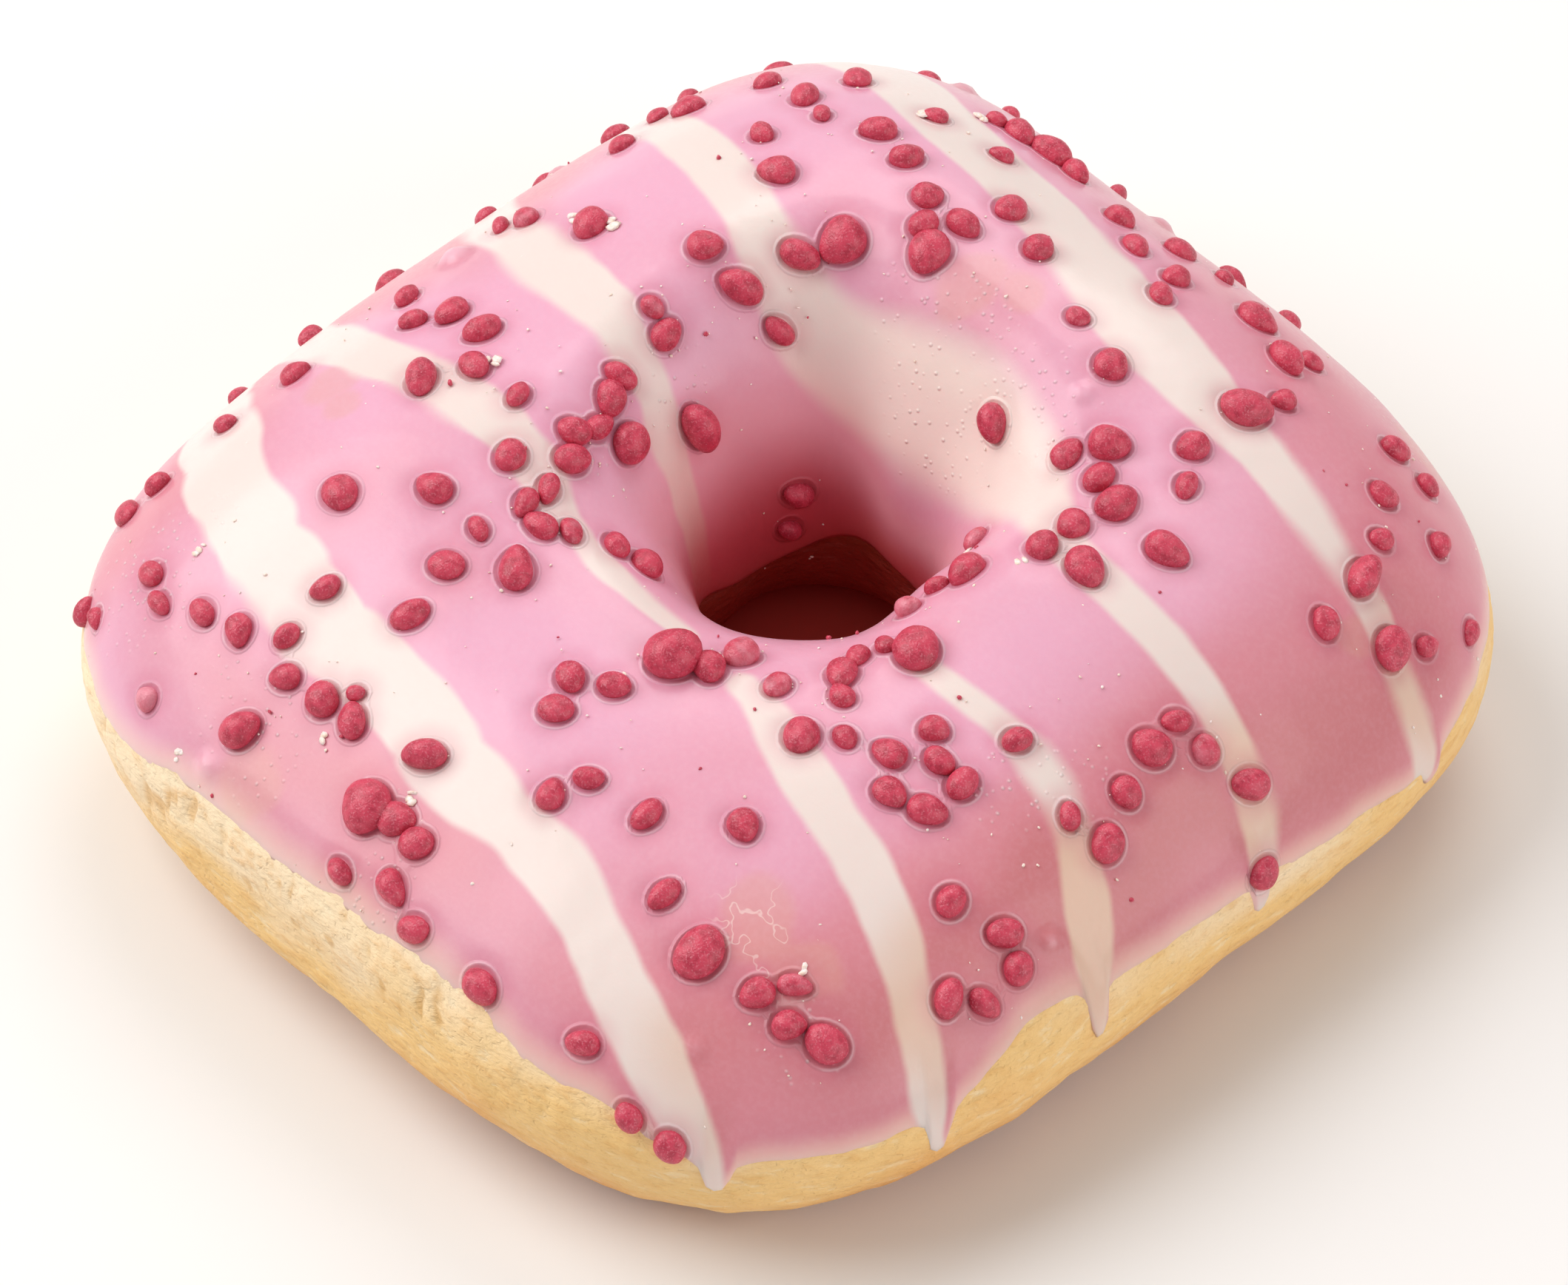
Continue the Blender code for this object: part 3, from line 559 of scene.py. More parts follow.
def ring_mesh(name, sections):
    """A closed loft round the ring, from an array of sections that are closed loops of points."""
    turns, stations = sections.shape[:2]
    i, j = np.meshgrid(np.arange(turns), np.arange(stations), indexing="ij")
    next_i, next_j = (i + 1) % turns, (j + 1) % stations
    quads = [i * stations + j, i * stations + next_j, next_i * stations + next_j, next_i * stations + j]
    mesh = bpy.data.meshes.new(name)
    points = np.clip((sections.reshape(-1, 3) + SHIFT) * MM, *cad_box)
    mesh.from_pydata(points.tolist(), [], np.stack(quads, -1).reshape(-1, 4).tolist())
    mesh.shade_smooth()
    return mesh


def set_values(mesh, name, values):
    """A number for each vertex, which the material reads."""
    layer = mesh.attributes.new(name, "FLOAT", "POINT")
    layer.data.foreach_set("value", np.ascontiguousarray(values, np.float32).ravel())


def add_piece(name, mesh, material, slot, *nodes):
    """A piece that rides on the root, and stands for the nodes given."""
    piece = bpy.data.objects.new(name, mesh)
    mesh.materials.append(material)
    bpy.context.scene.collection.objects.link(piece)
    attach(piece, "root")
    if nodes:
        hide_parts(*nodes)
    return piece


def dough_depth(turn, across):
    """Depth of the dough under the skin: a hollow for the icing, and a little inset outside it."""
    below_edge = across - edge_across(turn)
    hollow = smooth(*HOLLOW_FADES_IN_HOLE, across) * (1 - smooth(*HOLLOW_FADES_OUTSIDE, below_edge))
    inset = EDGE_SINK + (DOUGH_INSET - EDGE_SINK) * smooth(0, INSET_GROWS_OVER, below_edge)
    inset = inset * smooth(-1, -0.7, across) * (1 - smooth(2.7, 3, across))
    return inset + (DOUGH_UNDER_ICING - inset) * hollow


def pores(points, turn, below_edge):
    """Torn pores of the belt, just under the icing on the left side."""
    stretched = points * PORE_SQUASH + layered(points, PORE_WARP)[..., None]
    large = smooth(0.25, 0.7, noise(stretched, PORE_SIZE))
    fine = smooth(0.3, 0.7, noise(stretched + 30, FINE_PORE_SIZE))
    band = smooth(*PORES_FROM, below_edge) * (1 - smooth(*PORES_TO, below_edge))
    return (large + 0.6 * fine) * (TORN_ELSEWHERE + around(turn, *TORN_SIDE)) * band


def dough_base(turns):
    """The flat underside from the outer to the inner rim, with low dents that stay off the floor."""
    turn, share = np.meshgrid(turns, np.arange(1, BASE_STATIONS) / BASE_STATIONS, indexing="ij")
    outer, inner = skin(turn, np.full(turn.shape, 3.0)), skin(turn, np.full(turn.shape, -1.0))
    points = outer + (inner - outer) * share[..., None]
    dents = np.maximum(layered(points, BASE_DENTS) + BASE_DENTED, 0)
    points[..., 2] = BASE_RELIEF * dents * smooth(0, 0.2, share) * (1 - smooth(0.8, 1, share))
    return points


def dough_piece(material):
    """The ring itself, in place of its solid, with the browning of its crust, the painted shade of the
    hole's wall, and where its pores lie.
    """
    turns = np.arange(DOUGH_TURNS) * 360 / DOUGH_TURNS
    turn, across = np.meshgrid(turns, np.linspace(-1, 3, DOUGH_STATIONS), indexing="ij")
    rough = skin(turn, across)
    below_edge = across - edge_across(turn)
    lumps = layered(rough, DOUGH_LUMPS) * (1 + LOWER_LUMPS * smooth(*LUMPS_GROW_OVER, across))
    bare = np.clip(smooth(-0.05, 0.1, below_edge) + (1 - smooth(-0.1, 0.1, across)), 0, 1)
    off_base = smooth(-1, -0.75, across) * (1 - smooth(2.6, 3, across))
    holes = pores(rough, turn, below_edge)
    relief = (lumps * bare - PORE_DEPTH * holes) * off_base
    side = skin(turn, across, dough_depth(turn, across) - relief)
    base = dough_base(turns)
    mesh = ring_mesh("dough_crust", np.concatenate([side, base], axis=1))
    # painted shade: the dough in the hole is browned as if deeply baked, to darken the hole
    hole_wall_shade = HOLE_PAINTED_SHADE * (1 - smooth(-0.2, 0.15, across))
    browner = DOUGH_BROWNER * np.cos(np.radians(turn - DOUGH_BROWNEST_TURN))
    baked_and_hole_shade = np.maximum(below_edge, hole_wall_shade) + layered(rough, DOUGH_BLOTCHES) + browner
    for name, values, on_base in (
            ("baked_and_hole_shade", baked_and_hole_shade, BASE_BAKED),
            ("pore", holes, 0),
            ("hole_wall_shade", 1 - smooth(-0.1, 0.3, across), 0)):
        set_values(mesh, name, np.concatenate([values, np.full(base.shape[:2], on_base)], axis=1))
    return add_piece("dough_crust", mesh, material, "dough", "dough")


def stripe_course(course):
    """Points along the middle of a stripe with its corners rounded off, and its half width there."""
    turns, acrosses, widths = np.array(course).T
    share = np.linspace(0, len(course) - 1, (len(course) - 1) * STRIPE_POINTS + 1)
    along = [np.interp(share, np.arange(len(course)), values)
             for values in (np.unwrap(turns, period=360), acrosses, widths / 2)]
    window = np.hanning(2 * STRIPE_POINTS + 3)[1:-1]
    turn, across, half = (
        np.convolve(np.pad(values, STRIPE_POINTS, mode="edge"), window / window.sum(), mode="valid")
        for values in along)
    return skin(turn, across), half


def stripe_field(points, turn):
    """How far inside a white stripe each point lies, less than 0 outside, in mm."""
    field = np.full(len(points), -FAR_AWAY)
    for course in STRIPES.values():
        line, half = stripe_course(course)
        for k in range(len(line) - 1):
            step = line[k + 1] - line[k]
            close = np.abs(points - line[k]).max(axis=1) < FAR_AWAY
            along = np.clip((points[close] - line[k]) @ step / (step @ step), 0, 1)
            apart = np.linalg.norm(points[close] - line[k] - along[:, None] * step, axis=1)
            field[close] = np.maximum(field[close], half[k] + (half[k + 1] - half[k]) * along - apart)
    lobes = np.abs(layered(points, LOBES)) * around(turn, LOBE_TURN, LOBE_TURNS)
    return field + lobes + layered(points, STRIPE_WAVES)


def hole_wash(turn):
    """How much a place belongs to the hole's far wall, where the white is washed wide."""
    return around(turn, WASH_TURN, WASH_TURNS)


def feather(points, turn, across):
    """Half the width of the stripes' soft edges: it varies, and is widest on the hole's far wall."""
    wash = hole_wash(turn) * (1 - smooth(*WASH_ACROSS, across))
    swollen = smooth(*FEATHER_SWELLS_OVER, layered(points, FEATHER_LAYER))
    return FEATHER + FEATHER_SWELL * swollen + WASH_FEATHER * wash


def patches(points, places):
    """How much each point belongs to a round patch, with a ragged edge."""
    share = np.zeros(points.shape[:-1])
    ragged = layered(points, PATCH_RAGS)
    for turn, across, radius in places:
        apart = np.linalg.norm(points - skin(turn, across), axis=-1) / radius
        share = np.maximum(share, 1 - smooth(*PATCH_FADE, apart + ragged))
    return share


def granule_field(points, granules):
    """Distance from each point to the nearest granule's waterline, along the skin, in mm."""
    field = np.full(len(points), FAR_AWAY)
    for item in granules:
        near = np.abs(points - item["centre"]).max(axis=1) < item["length"] / 2 + 3
        local = (points[near] - item["centre"]) @ item["ways"].T
        rim = np.interp(np.arctan2(local[:, 1], local[:, 0]), *item["rim"], period=math.tau)
        apart = np.where(np.abs(local[:, 2]) < 2.5, np.hypot(local[:, 0], local[:, 1]) - rim, FAR_AWAY)
        field[near] = np.minimum(field[near], apart)
    return field


def coated_relief(points):
    """Low domes where the icing covers a granule."""
    relief = np.zeros(points.shape[:-1])
    for turn, across, radius, height in COATED:
        apart = np.linalg.norm(points - skin(turn, across), axis=-1) / radius
        relief = np.maximum(relief, height * (1 - smooth(*COATED_FADE, apart)))
    return relief


def thinness_and_side_shade(points, turn, across, to_edge):
    """How thin the icing looks: more on the curved sides and in slow blotches, rosier on the right as
    painted shade and paler on the left as painted light.
    """
    thicker = THICK_EDGE * (1 - smooth(0, THICK_EDGE_WIDTH, to_edge))
    side = smooth(*THIN_SIDE_FROM, across) * (1 - thicker)
    # painted shade on the right side, painted light on the left
    side_shade = sum(much * around(turn, middle, turns) for middle, turns, much in SIDE_SHADE)
    everywhere = THIN_EVERYWHERE + layered(points, THIN_BLOTCHES)
    return everywhere + THIN_SIDE * side + side_shade * smooth(*SIDE_SHADE_ACROSS, across)


def icing_piece(material, granules):
    """The icing in place of its solid, with the values that its material is painted by."""
    turns = np.arange(ICING_TURNS) * 360 / ICING_TURNS
    turn, share = np.meshgrid(turns, np.linspace(0, 1, ICING_TOP), indexing="ij")
    across = icing_across(turn, share)
    flat = skin(turn, across)
    points = flat.reshape(-1, 3)

    to_edge = (ragged_edge_across(turn) - across) * MM_PER_ACROSS_OUTSIDE
    nearest_edge = np.minimum(to_edge, (across - hole_edge_across(turn)) * MM_PER_ACROSS_IN_HOLE)
    bead = BEAD_HEIGHT * np.exp(-((to_edge - BEAD_PLACE) / BEAD_WIDTH) ** 2)
    in_rounding = 1 - np.clip(nearest_edge / EDGE_ROUNDING, 0, 1)
    rounding = EDGE_DROP * (1 - np.sqrt(1 - in_rounding ** 2))
    stripe = stripe_field(points, turn.ravel()).reshape(turn.shape) / feather(flat, turn, across)
    apart = granule_field(points, granules).reshape(turn.shape)
    dimple = DIMPLE_DEPTH * np.exp(-(np.maximum(apart, 0) / DIMPLE_WIDTH) ** 2)
    coated = coated_relief(flat)
    waves = layered(flat, ICING_WAVES) * smooth(0, WAVES_GROW_OVER, nearest_edge)
    top = skin(turn, across, dimple + rounding - waves - bead - coated)

    turn_under, share_under = np.meshgrid(turns, np.linspace(1, 0, ICING_UNDER), indexing="ij")
    across_under = icing_across(turn_under, share_under * UNDERSIDE_REACH)
    depth_under = dough_depth(turn_under, across_under) + UNDERSIDE_DEEPER
    under = skin(turn_under, across_under, depth_under)

    in_wash = 1 - smooth(*WASH_ACROSS, across)
    # painted shade: how deep down the hole the icing is darkened, less on its far wall
    hole_shade_depth = 1 - smooth(0, 0.75 - 0.45 * hole_wash(turn), across)
    mesh = ring_mesh("icing_skin", np.concatenate([top, under], axis=1))
    for name, values, on_underside in (
            ("stripe", stripe, -FAR_AWAY),
            ("granule", apart, FAR_AWAY),
            ("coated", coated, 0),
            # thinness, with painted shade on the right and painted light on the left
            ("thin_and_side_shade", thinness_and_side_shade(flat, turn, across, to_edge), 1),
            ("bald", patches(flat, THIN_PATCHES), 0),
            ("crackled", patches(flat, CRACKLED), 0),
            ("bubbly", patches(flat, BUBBLY), 0),
            ("to_edge", nearest_edge, 0),
            # the white washed wide on the hole's far wall, partly painted light
            ("washed_and_painted_light", WASHED * hole_wash(turn) * smooth(-0.8, 0.8, stripe) * in_wash, 0),
            # painted shade down inside the hole
            ("hole_shade_depth", hole_shade_depth, 1)):
        set_values(mesh, name, np.concatenate([values, np.full(turn_under.shape, on_underside)], axis=1))
    return add_piece("icing_skin", mesh, material, "icing", "icing")


def ball(segments, rings):
    """Points of a unit ball from pole to pole, and its faces in an order that doesn't vary."""
    build = bmesh.new()
    bmesh.ops.create_uvsphere(build, u_segments=segments, v_segments=rings, radius=1)
    points = np.array([vertex.co[:] for vertex in build.verts])
    faces = sorted([vertex.index for vertex in face.verts] for face in build.faces)
    build.free()
    return points, faces


def joined_mesh(name, lumps, faces):
    """One mesh from many lumps that share the same faces."""
    count = len(lumps[0])
    mesh = bpy.data.meshes.new(name)
    points = np.clip((np.concatenate(lumps) + SHIFT) * MM, *cad_box)
    all_faces = [[index + count * k for index in face] for k in range(len(lumps)) for face in faces]
    mesh.from_pydata(points.tolist(), [], all_faces)
    mesh.shade_smooth()
    return mesh


def film_on(item):
    """How much icing a granule wears by the list, or nothing if it isn't named there."""
    for turn, across, much in FROSTED:
        if abs(item["turn"] - turn) < 1 and abs(item["across"] - across) < SAME_ACROSS:
            return much
    return None


def granules_piece(material, granules, faces):
    """All granules as one mesh; the icing's solid carries them."""
    draw = random.Random(SEED + 2)
    frosted = []
    for item in granules:
        light_film = draw.uniform(0, LIGHT_FILM)
        film = film_on(item)
        frosted += [light_film if film is None else film] * len(item["points"])
    mesh = joined_mesh("granules", [item["points"] for item in granules], faces)
    set_values(mesh, "frosted", frosted)
    return add_piece("granules", mesh, material, "granules")


def crumb(draw, unit, turn, across, size, flatness):
    """A small broken bit, lying on the icing with its underside in it."""
    point, ways = lying_at(turn, across, draw.uniform(0, math.tau))
    halves = size / 2 * np.array([1, draw.uniform(*CRUMB_WIDTHS), flatness])
    return point + ways[2] * halves[2] / 2 + (lumpy(unit, draw, CRUMB_JAGS) * halves) @ ways


def crumb_places(draw, count, granules):
    """Most crumbs lie near a granule, and the rest anywhere on the icing."""
    for _ in range(count):
        if draw.random() < CRUMBS_NEAR_GRANULES:
            item = draw.choice(granules)
            step = draw.gauss(0, CRUMB_SPREAD)
            turn = item["turn"] + step / mm_per_degree(item["turn"], item["across"])
            across = item["across"] + draw.gauss(0, CRUMB_SPREAD) / MM_PER_ACROSS_ON_TOP
        else:
            turn, across = draw.uniform(0, 360), draw.uniform(*CRUMBS_ACROSS)
        yield turn, min(across, float(edge_across(turn)) - CRUMB_TO_EDGE)


def crumbs(draw, unit, count, sizes, flatness, granules):
    """Scattered crumbs, more of them small than large."""
    return [
        crumb(draw, unit, turn, across, draw.triangular(*sizes, sizes[0]), flatness)
        for turn, across in crumb_places(draw, count, granules)]


def flakes(draw, unit):
    """The larger flakes of sugar, each a few flat bits side by side."""
    for turn, across, length in FLAKES:
        for _ in range(FLAKE_BITS):
            nudge = draw.uniform(-FLAKE_SPREAD, FLAKE_SPREAD) * length
            place = turn + nudge / mm_per_degree(turn, across)
            height = across + draw.uniform(-FLAKE_ACROSS_SPREAD, FLAKE_ACROSS_SPREAD)
            yield crumb(
                draw, unit, place, height, length * draw.uniform(*FLAKE_BIT_LENGTHS), FLAKE_HEIGHT)


def red_crumbs_piece(material, granules):
    draw = random.Random(SEED + 3)
    unit, faces = ball(CRUMB_SEGMENTS, CRUMB_RINGS)
    lumps = crumbs(draw, unit, RED_CRUMBS, RED_CRUMB_SIZES, RED_CRUMB_HEIGHT, granules)
    mesh = joined_mesh("red_crumbs", lumps, faces)
    set_values(mesh, "frosted", np.full(len(lumps) * len(unit), CRUMB_FILM))
    return add_piece("red_crumbs", mesh, material, "granules")


def sugar_crumbs_piece(material, granules):
    draw = random.Random(SEED + 4)
    unit, faces = ball(CRUMB_SEGMENTS, CRUMB_RINGS)
    lumps = crumbs(draw, unit, SUGAR_CRUMBS, SUGAR_CRUMB_SIZES, SUGAR_CRUMB_HEIGHT, granules)
    lumps += flakes(draw, unit)
    return add_piece("sugar_crumbs", joined_mesh("sugar_crumbs", lumps, faces), material, "icing")


# Materials


# Some of these colours paint light or shade: the hole's salmon and deep red, the dark ring, the dark
# wall and the hole floor are painted shade. The halo is red bleed with painted shade, and the thin white
# is partly painted shade. The lip is a painted highlight, and the washed white is partly painted light.
COLOURS = {
    "pink": "E6A9C2", "rose": "D98A96", "deep rose": "CD7A80", "crust blush": "DCA393",
    "pale pink": "F3D0DC", "white": "E8D7D1", "thin and shaded white": "E1BDA8", "washed and painted lit white": "FDE6DC",
    "bleed and painted shade halo": "CF6382", "painted contact shadow": "C84F6E", "lip": "FBE6EC", "coated": "F3CFDD", "droplet": "FBECEC",
    "peach": "F8D4C0", "painted shade salmon": "EE9C97", "painted shade deep red": "C43A48", "crackle": "F6E2DC",
    "pale crust": "FBE2BD", "golden crust": "F6CB85", "baked crust": "EAA656", "brown crust": "BE7636",
    "streak": "E3A654", "pale streak": "FCEBC8", "pore": "D9A458", "painted shade hole wall": "9C2A24",
    "berry": "B02C44", "light berry": "D0425B", "dust": "EC8FA0", "film": "EBA3B2",
    "sugar": "FBEDEB", "toasted sugar": "F3DCC8", "floor": "EFEDEC", "painted shade hole floor": "E8584C",
}


def colour(name):
    """A linear colour from its six hexadecimal digits."""
    code = COLOURS[name]
    shares = [int(code[k:k + 2], 16) / 255 for k in (0, 2, 4)]
    return (*[s / 12.92 if s <= 0.04045 else ((s + 0.055) / 1.055) ** 2.4 for s in shares], 1)


class Nodes:
    """Short ways to build a material's node tree."""

    def __init__(self, name):
        self.material = bpy.data.materials.new(name)
        self.material.use_nodes = True
        self.tree = self.material.node_tree
        self.shader = self.tree.nodes["Principled BSDF"]
        self.place = self.add("ShaderNodeTexCoord").outputs["Object"]

    def add(self, kind, *values, **settings):
        """A node with its settings, and values for its first sockets."""
        node = self.tree.nodes.new(kind)
        for key, value in settings.items():
            setattr(node, key, value)
        for socket, value in zip(node.inputs, values):
            self.link(socket, value)
        return node

    def link(self, socket, value):
        if isinstance(value, bpy.types.NodeSocket):
            self.tree.links.new(value, socket)
        else:
            socket.default_value = value

    def value(self, name):
        """One of the mesh's own values."""
        return self.add("ShaderNodeAttribute", attribute_name=name).outputs["Fac"]

    def maths(self, operation, *values):
        return self.add("ShaderNodeMath", *values, operation=operation).outputs[0]

    def times(self, first, second):
        return self.maths("MULTIPLY", first, second)

    def plus(self, first, second):
        return self.maths("ADD", first, second)

    def off(self, first, second):
        """How far two values are apart."""
        return self.maths("ABSOLUTE", self.maths("SUBTRACT", first, second))

    def noise(self, size_mm, detail=2, roughness=0.5, place=None):
        node = self.add("ShaderNodeTexNoise")
        node.inputs["Scale"].default_value = 1 / (size_mm * MM)
        node.inputs["Detail"].default_value = detail
        node.inputs["Roughness"].default_value = roughness
        self.link(node.inputs["Vector"], place or self.place)
        return node.outputs["Fac"]

    def cells(self, size_mm):
        """Distance to the nearest of many scattered points, in cells."""
        node = self.add("ShaderNodeTexVoronoi", feature="F1")
        node.inputs["Scale"].default_value = 1 / (size_mm * MM)
        self.link(node.inputs["Vector"], self.place)
        return node.outputs["Distance"]

    def ramp(self, value, low, high, to_low=0, to_high=1):
        """An even S from one value to another."""
        ends = value, low, high, to_low, to_high
        return self.add("ShaderNodeMapRange", *ends, interpolation_type="SMOOTHSTEP").outputs["Result"]

    def layers(self, colour_below, *layers):
        """Colours laid over one another, each a name and its share."""
        for name, share in layers:
            colour_below = self.mix(share, colour_below, colour(name))
        return colour_below

    def mix(self, share, first, second):
        node = self.add("ShaderNodeMix", data_type="RGBA")
        self.link(node.inputs["Factor"], share)
        self.link(node.inputs[6], first)
        self.link(node.inputs[7], second)
        return node.outputs[2]

    def bump(self, height_mm):
        """Bumps from heights in millimetres."""
        node = self.add("ShaderNodeBump")
        node.inputs["Distance"].default_value = MM
        self.link(node.inputs["Height"], height_mm)
        self.link(self.shader.inputs["Normal"], node.outputs["Normal"])

    def set(self, **inputs):
        for name, value in inputs.items():
            self.link(self.shader.inputs[name.replace("_", " ")], value)


def icing_material():
    """Glossy pink icing with white stripes run into it."""
    make = Nodes("icing")
    stripe, apart, thin_and_side_shade = make.value("stripe"), make.value("granule"), make.value("thin_and_side_shade")
    hole_shade_depth = make.value("hole_shade_depth")
    grain, veins = make.noise(GRAIN_SIZE, 3), make.noise(VEIN_SIZE, 3)
    droplets = make.times(make.ramp(make.cells(DROPLET_SIZE), 0, 0.28, 1, 0), make.value("bubbly"))
    off_lip, off_vein = make.off(apart, LIP_PLACE), make.off(veins, 0.5)
    white_share = make.ramp(stripe, -1, 1)
    pink_edge = make.times(
        make.ramp(make.value("to_edge"), 0.2, 1.5, 0.6, 0), make.maths("SUBTRACT", 1, white_share))
    # painted highlight: a pale tint on the lip round each granule, in places
    painted_lip_highlight = make.times(
        make.ramp(off_lip, 0.04, 0.18, 0.26, 0), make.ramp(veins, 0.42, 0.58, 0.2, 1))

    # lilac where thick and rose where thin, rosier on the right as painted shade and paler on the left
    # as painted light, and brownish where the crust shows through
    pink = make.layers(
        colour("pink"),
        ("rose", make.ramp(thin_and_side_shade, -0.1, 0.85)),
        ("deep rose", make.ramp(thin_and_side_shade, 0.8, 1.35)),
        ("crust blush", make.ramp(make.value("bald"), 0.1, 1, 0, 0.38)),
        ("pale pink", make.ramp(grain, 0.35, 0.75, 0, 0.06)))
    # the white goes tan where thin, and on the right as painted shade
    white = make.layers(colour("white"), ("thin and shaded white", make.ramp(thin_and_side_shade, 0.75, 1.4)))
    surface = make.layers(
        make.mix(white_share, pink, white),
        # a halo round each granule: red bleed into the icing, with painted contact shade, over about 2
        # mm
        ("bleed and painted shade halo", make.ramp(apart, 0.2, 2, 0.24, 0)),
        # painted shadow: a dark ring where each granule meets the icing
        ("painted contact shadow", make.ramp(apart, 0.02, 0.24, 0.35, 0)),
        # painted highlight on the lips round the granules
        ("lip", painted_lip_highlight),
        ("coated", make.ramp(make.value("coated"), 0.1, 0.6, 0, 0.45)),
        ("droplet", make.times(droplets, 0.5)),
        ("peach", pink_edge),
        # white washed wide on the hole's far wall, made brighter as painted light
        ("washed and painted lit white", make.value("washed_and_painted_light")),
        # painted shade: salmon and then deep red down inside the hole
        ("painted shade salmon", make.ramp(hole_shade_depth, 0, 0.5, 0, 0.35)),
        ("painted shade deep red", make.ramp(hole_shade_depth, 0.45, 1, 0, 0.9)),
        ("crackle", make.times(make.ramp(off_vein, 0.002, 0.01, 0.45, 0), make.value("crackled"))))

    lip = make.ramp(off_lip, 0, LIP_HALF_WIDTH, LIP_HEIGHT, 0)
    trough = make.ramp(apart, 0, TROUGH_WIDTH, -TROUGH_DEPTH, 0)
    fine = make.plus(make.times(grain, GRAIN_HEIGHT), make.times(droplets, DROPLET_HEIGHT))
    make.bump(make.plus(make.plus(lip, trough), fine))
    make.set(Base_Color=surface, Roughness=make.ramp(grain, 0.3, 0.7, 0.32, 0.44))
    make.set(Subsurface_Weight=0.25, Subsurface_Radius=(1.0, 0.45, 0.5), Subsurface_Scale=0.9 * MM)
    make.set(Coat_Weight=0.35, Coat_Roughness=0.16, IOR=1.40)
    return make.material


def dough_material():
    """Fried crust: pale under the icing and browner lower down, with streaks along the belt, and painted
    shade dark red-brown down the hole.
    """
    make = Nodes("dough")
    baked_and_hole_shade = make.value("baked_and_hole_shade")
    belt = make.add("ShaderNodeVectorMath", make.place, (1, 1, BELT_STRETCH), operation="MULTIPLY")
    streaks = make.noise(STREAK_SIZE, 4, 0.6, belt.outputs["Vector"])
    crust = make.layers(
        colour("pale crust"),
        ("golden crust", make.ramp(baked_and_hole_shade, -0.1, 0.24)),
        ("baked crust", make.ramp(baked_and_hole_shade, 0.28, 0.8)),
        ("brown crust", make.ramp(baked_and_hole_shade, 0.65, 1.1)),
        ("streak", make.ramp(streaks, 0.5, 0.72, 0, 0.42)),
        ("pale streak", make.ramp(streaks, 0.28, 0.46, 0.45, 0)),
        ("pore", make.ramp(make.value("pore"), 0.2, 0.9, 0, 0.55)),
        # painted shade: dark red-brown on the lower wall of the hole
        ("painted shade hole wall", make.ramp(make.value("hole_wall_shade"), 0.2, 1, 0, 0.95)))
    pits = make.ramp(make.noise(PIT_SIZE), 0.55, 0.8, 0, -PIT_DEPTH)
    make.bump(make.plus(pits, make.times(streaks, STREAK_HEIGHT)))
    make.set(Base_Color=crust, Roughness=0.58)
    return make.material


def granule_material():
    """Matt fruit granules with fine pale dust, and a film of icing on some of them."""
    make = Nodes("granules")
    tint, dust = make.noise(TINT_SIZE, 3, 0.6), make.noise(DUST_SIZE)
    film = make.plus(make.noise(FILM_SIZE), make.value("frosted"))
    berry = make.layers(
        colour("berry"),
        ("light berry", make.ramp(tint, 0.3, 0.62)),
        ("dust", make.ramp(dust, 0.52, 0.72, 0, 0.42)),
        ("film", make.ramp(film, 0.85, 1.5, 0, 0.65)))
    make.bump(make.plus(make.times(dust, DUST_HEIGHT), make.times(tint, TINT_HEIGHT)))
    make.set(Base_Color=berry, Roughness=0.36)
    return make.material


def sugar_material():
    make = Nodes("sugar")
    grit = make.noise(SUGAR_GRIT_SIZE)
    make.bump(make.times(grit, SUGAR_GRIT_HEIGHT))
    sugar = make.layers(colour("sugar"), ("toasted sugar", make.ramp(grit, 0.3, 0.7)))
    make.set(Base_Color=sugar, Roughness=0.35)
    return make.material


# Stage

# The camera stands 47 degrees to the right of the front and 47 above the floor, half a metre away
CAMERA_AZIMUTH, CAMERA_ELEVATION, CAMERA_DISTANCE = 47.0, 47.0, 0.5
CAMERA_AIM_HEIGHT, LIGHT_AIM_HEIGHT = 0.014, 0.01
CAMERA_LENS, CAMERA_SENSOR = 165.04, 36.0
AIM_RIGHT, AIM_DOWN = -0.0002, 0.0035

WORLD_COLOUR, WORLD_STRENGTH = (1.0, 0.99, 0.98, 1), 0.36
FLOOR_SIZE = 2.5
# Painted shade: the floor under the hole is tinted deep red, for the deep red-brown shade seen through
# the hole; where that tint fades, from the hole's middle
HOLE_SHADE_FADES = (17.0, 21.0)
# Round lights: azimuth and elevation seen from the doughnut, distance, size, watts, colour
LIGHTS = {
    "key": (304, 46, 0.9, 0.85, 7.0, (1.0, 0.99, 0.97)),
    "back": (212, 48, 0.9, 0.6, 2.5, (1.0, 0.99, 0.98)),
    "fill": (105, 24, 1.0, 0.8, 3.7, (1.0, 0.95, 0.91)),
}


def towards(azimuth, elevation):
    """Direction out to a viewer or light, by the frame's convention."""
    a, e = math.radians(azimuth), math.radians(elevation)
    return Vector((math.sin(a) * math.cos(e), -math.cos(a) * math.cos(e), math.sin(e)))


def aim(obj, place, target):
    obj.location = place
    obj.rotation_euler = (target - place).to_track_quat("-Z", "Y").to_euler()
    bpy.context.scene.collection.objects.link(obj)


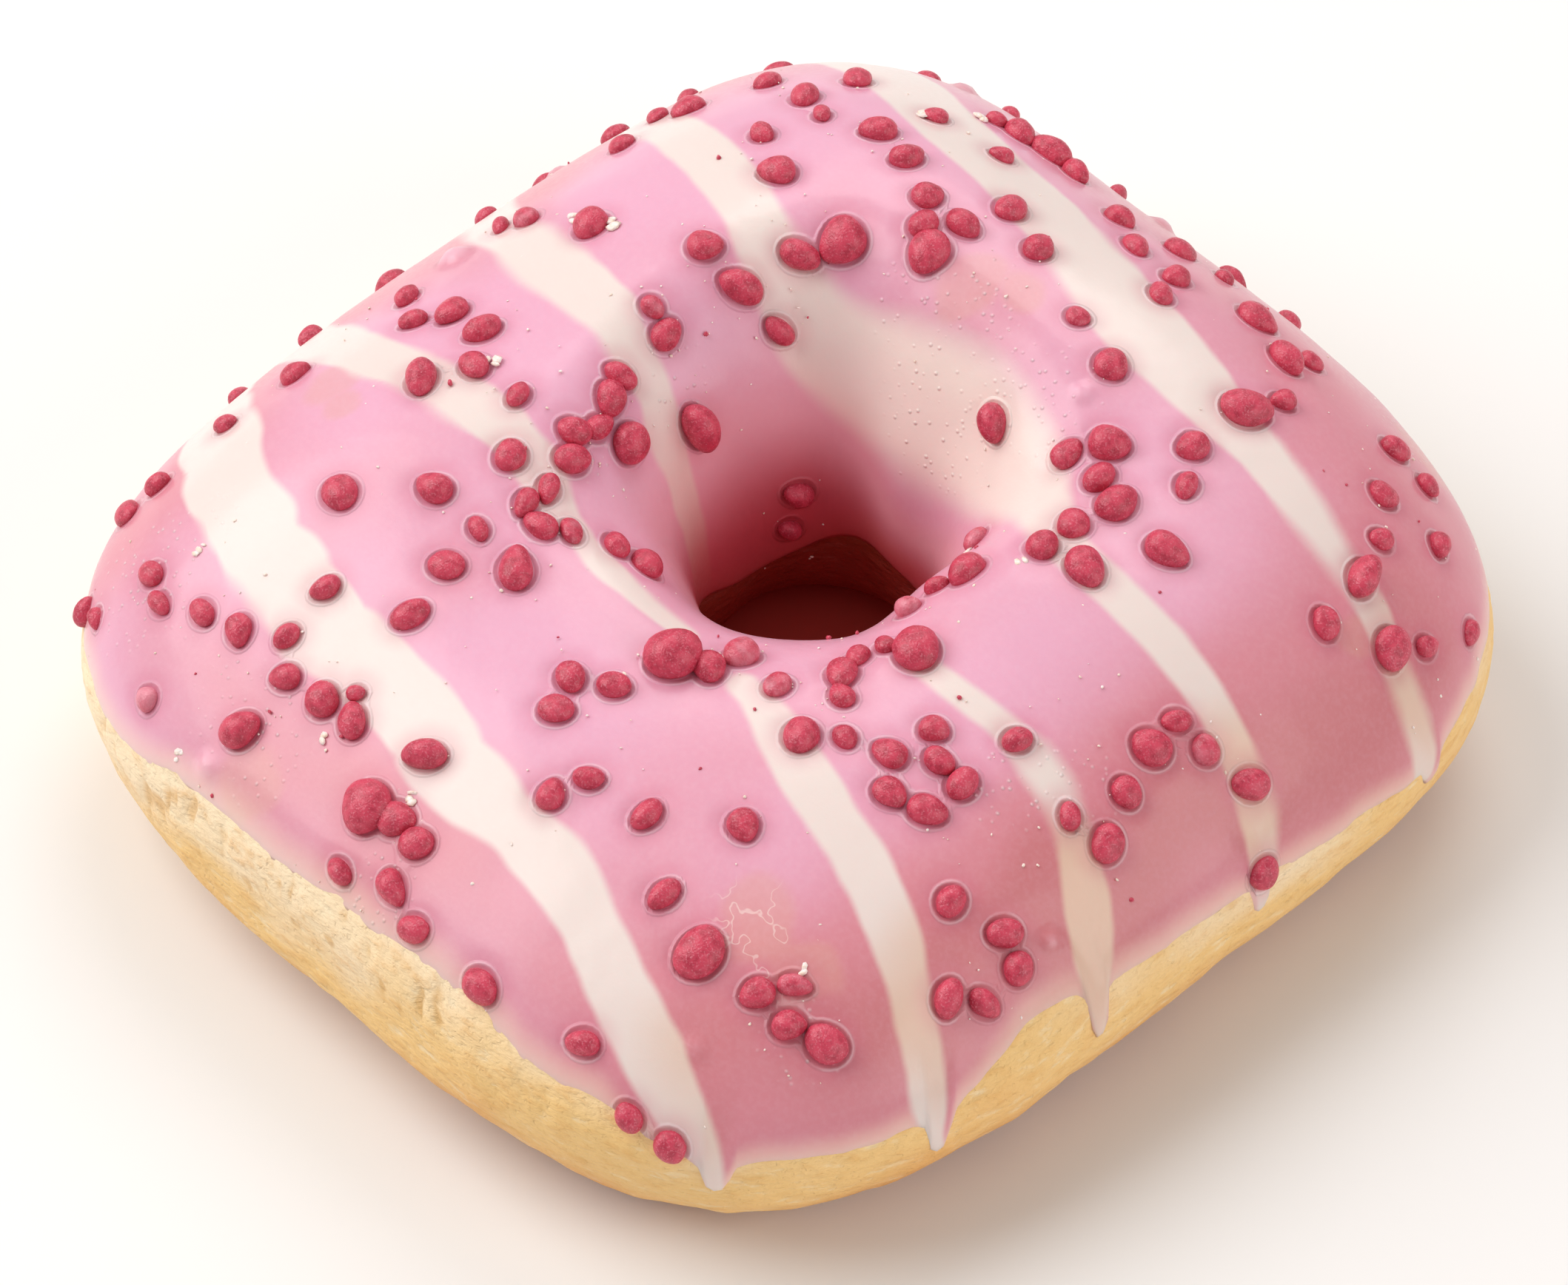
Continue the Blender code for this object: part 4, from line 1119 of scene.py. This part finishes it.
def add_camera():
    back = towards(CAMERA_AZIMUTH, CAMERA_ELEVATION)
    right = Vector((math.cos(math.radians(CAMERA_AZIMUTH)), math.sin(math.radians(CAMERA_AZIMUTH)), 0))
    up = back.cross(right)
    middle = Vector(SHIFT) * MM + Vector((0, 0, CAMERA_AIM_HEIGHT))
    data = bpy.data.cameras.new("camera")
    data.lens, data.sensor_width = CAMERA_LENS, CAMERA_SENSOR
    camera = bpy.data.objects.new("camera", data)
    aim(camera, middle + back * CAMERA_DISTANCE, middle + right * AIM_RIGHT - up * AIM_DOWN)
    bpy.context.scene.camera = camera


def add_lights():
    for name, (azimuth, elevation, distance, size, watts, tint) in LIGHTS.items():
        data = bpy.data.lights.new(name, "AREA")
        data.shape, data.size, data.energy, data.color = "DISK", size, watts, tint
        light = bpy.data.objects.new(name, data)
        aim(light, towards(azimuth, elevation) * distance, Vector((0, 0, LIGHT_AIM_HEIGHT)))
    world = bpy.data.worlds.new("studio")
    world.use_nodes = True
    world.node_tree.nodes["Background"].inputs["Color"].default_value = WORLD_COLOUR
    world.node_tree.nodes["Background"].inputs["Strength"].default_value = WORLD_STRENGTH
    bpy.context.scene.world = world
    bpy.context.scene.view_settings.view_transform = "Standard"


def add_floor():
    build = bmesh.new()
    bmesh.ops.create_grid(build, x_segments=1, y_segments=1, size=FLOOR_SIZE)
    mesh = bpy.data.meshes.new("floor")
    build.to_mesh(mesh)
    build.free()
    make = Nodes("floor")
    # painted shade: a deep red tint on the floor under the hole
    hole = (*(SHIFT[:2] + HOLE_CENTRE) * MM, 0)
    apart = make.add("ShaderNodeVectorMath", make.place, hole, operation="DISTANCE")
    share = make.ramp(apart.outputs["Value"], *(reach * MM for reach in HOLE_SHADE_FADES))
    make.set(Base_Color=make.mix(share, colour("painted shade hole floor"), colour("floor")), Roughness=0.8)
    mesh.materials.append(make.material)
    floor = bpy.data.objects.new("floor", mesh)
    bpy.context.scene.collection.objects.link(floor)


def main():
    add_camera()
    add_lights()
    add_floor()
    granules = all_granules()
    faces = shaped_granules(granules)
    berry = granule_material()
    dough_piece(dough_material())
    icing_piece(icing_material(), granules)
    granules_piece(berry, granules, faces)
    red_crumbs_piece(berry, granules)
    sugar_crumbs_piece(sugar_material(), granules)


main()
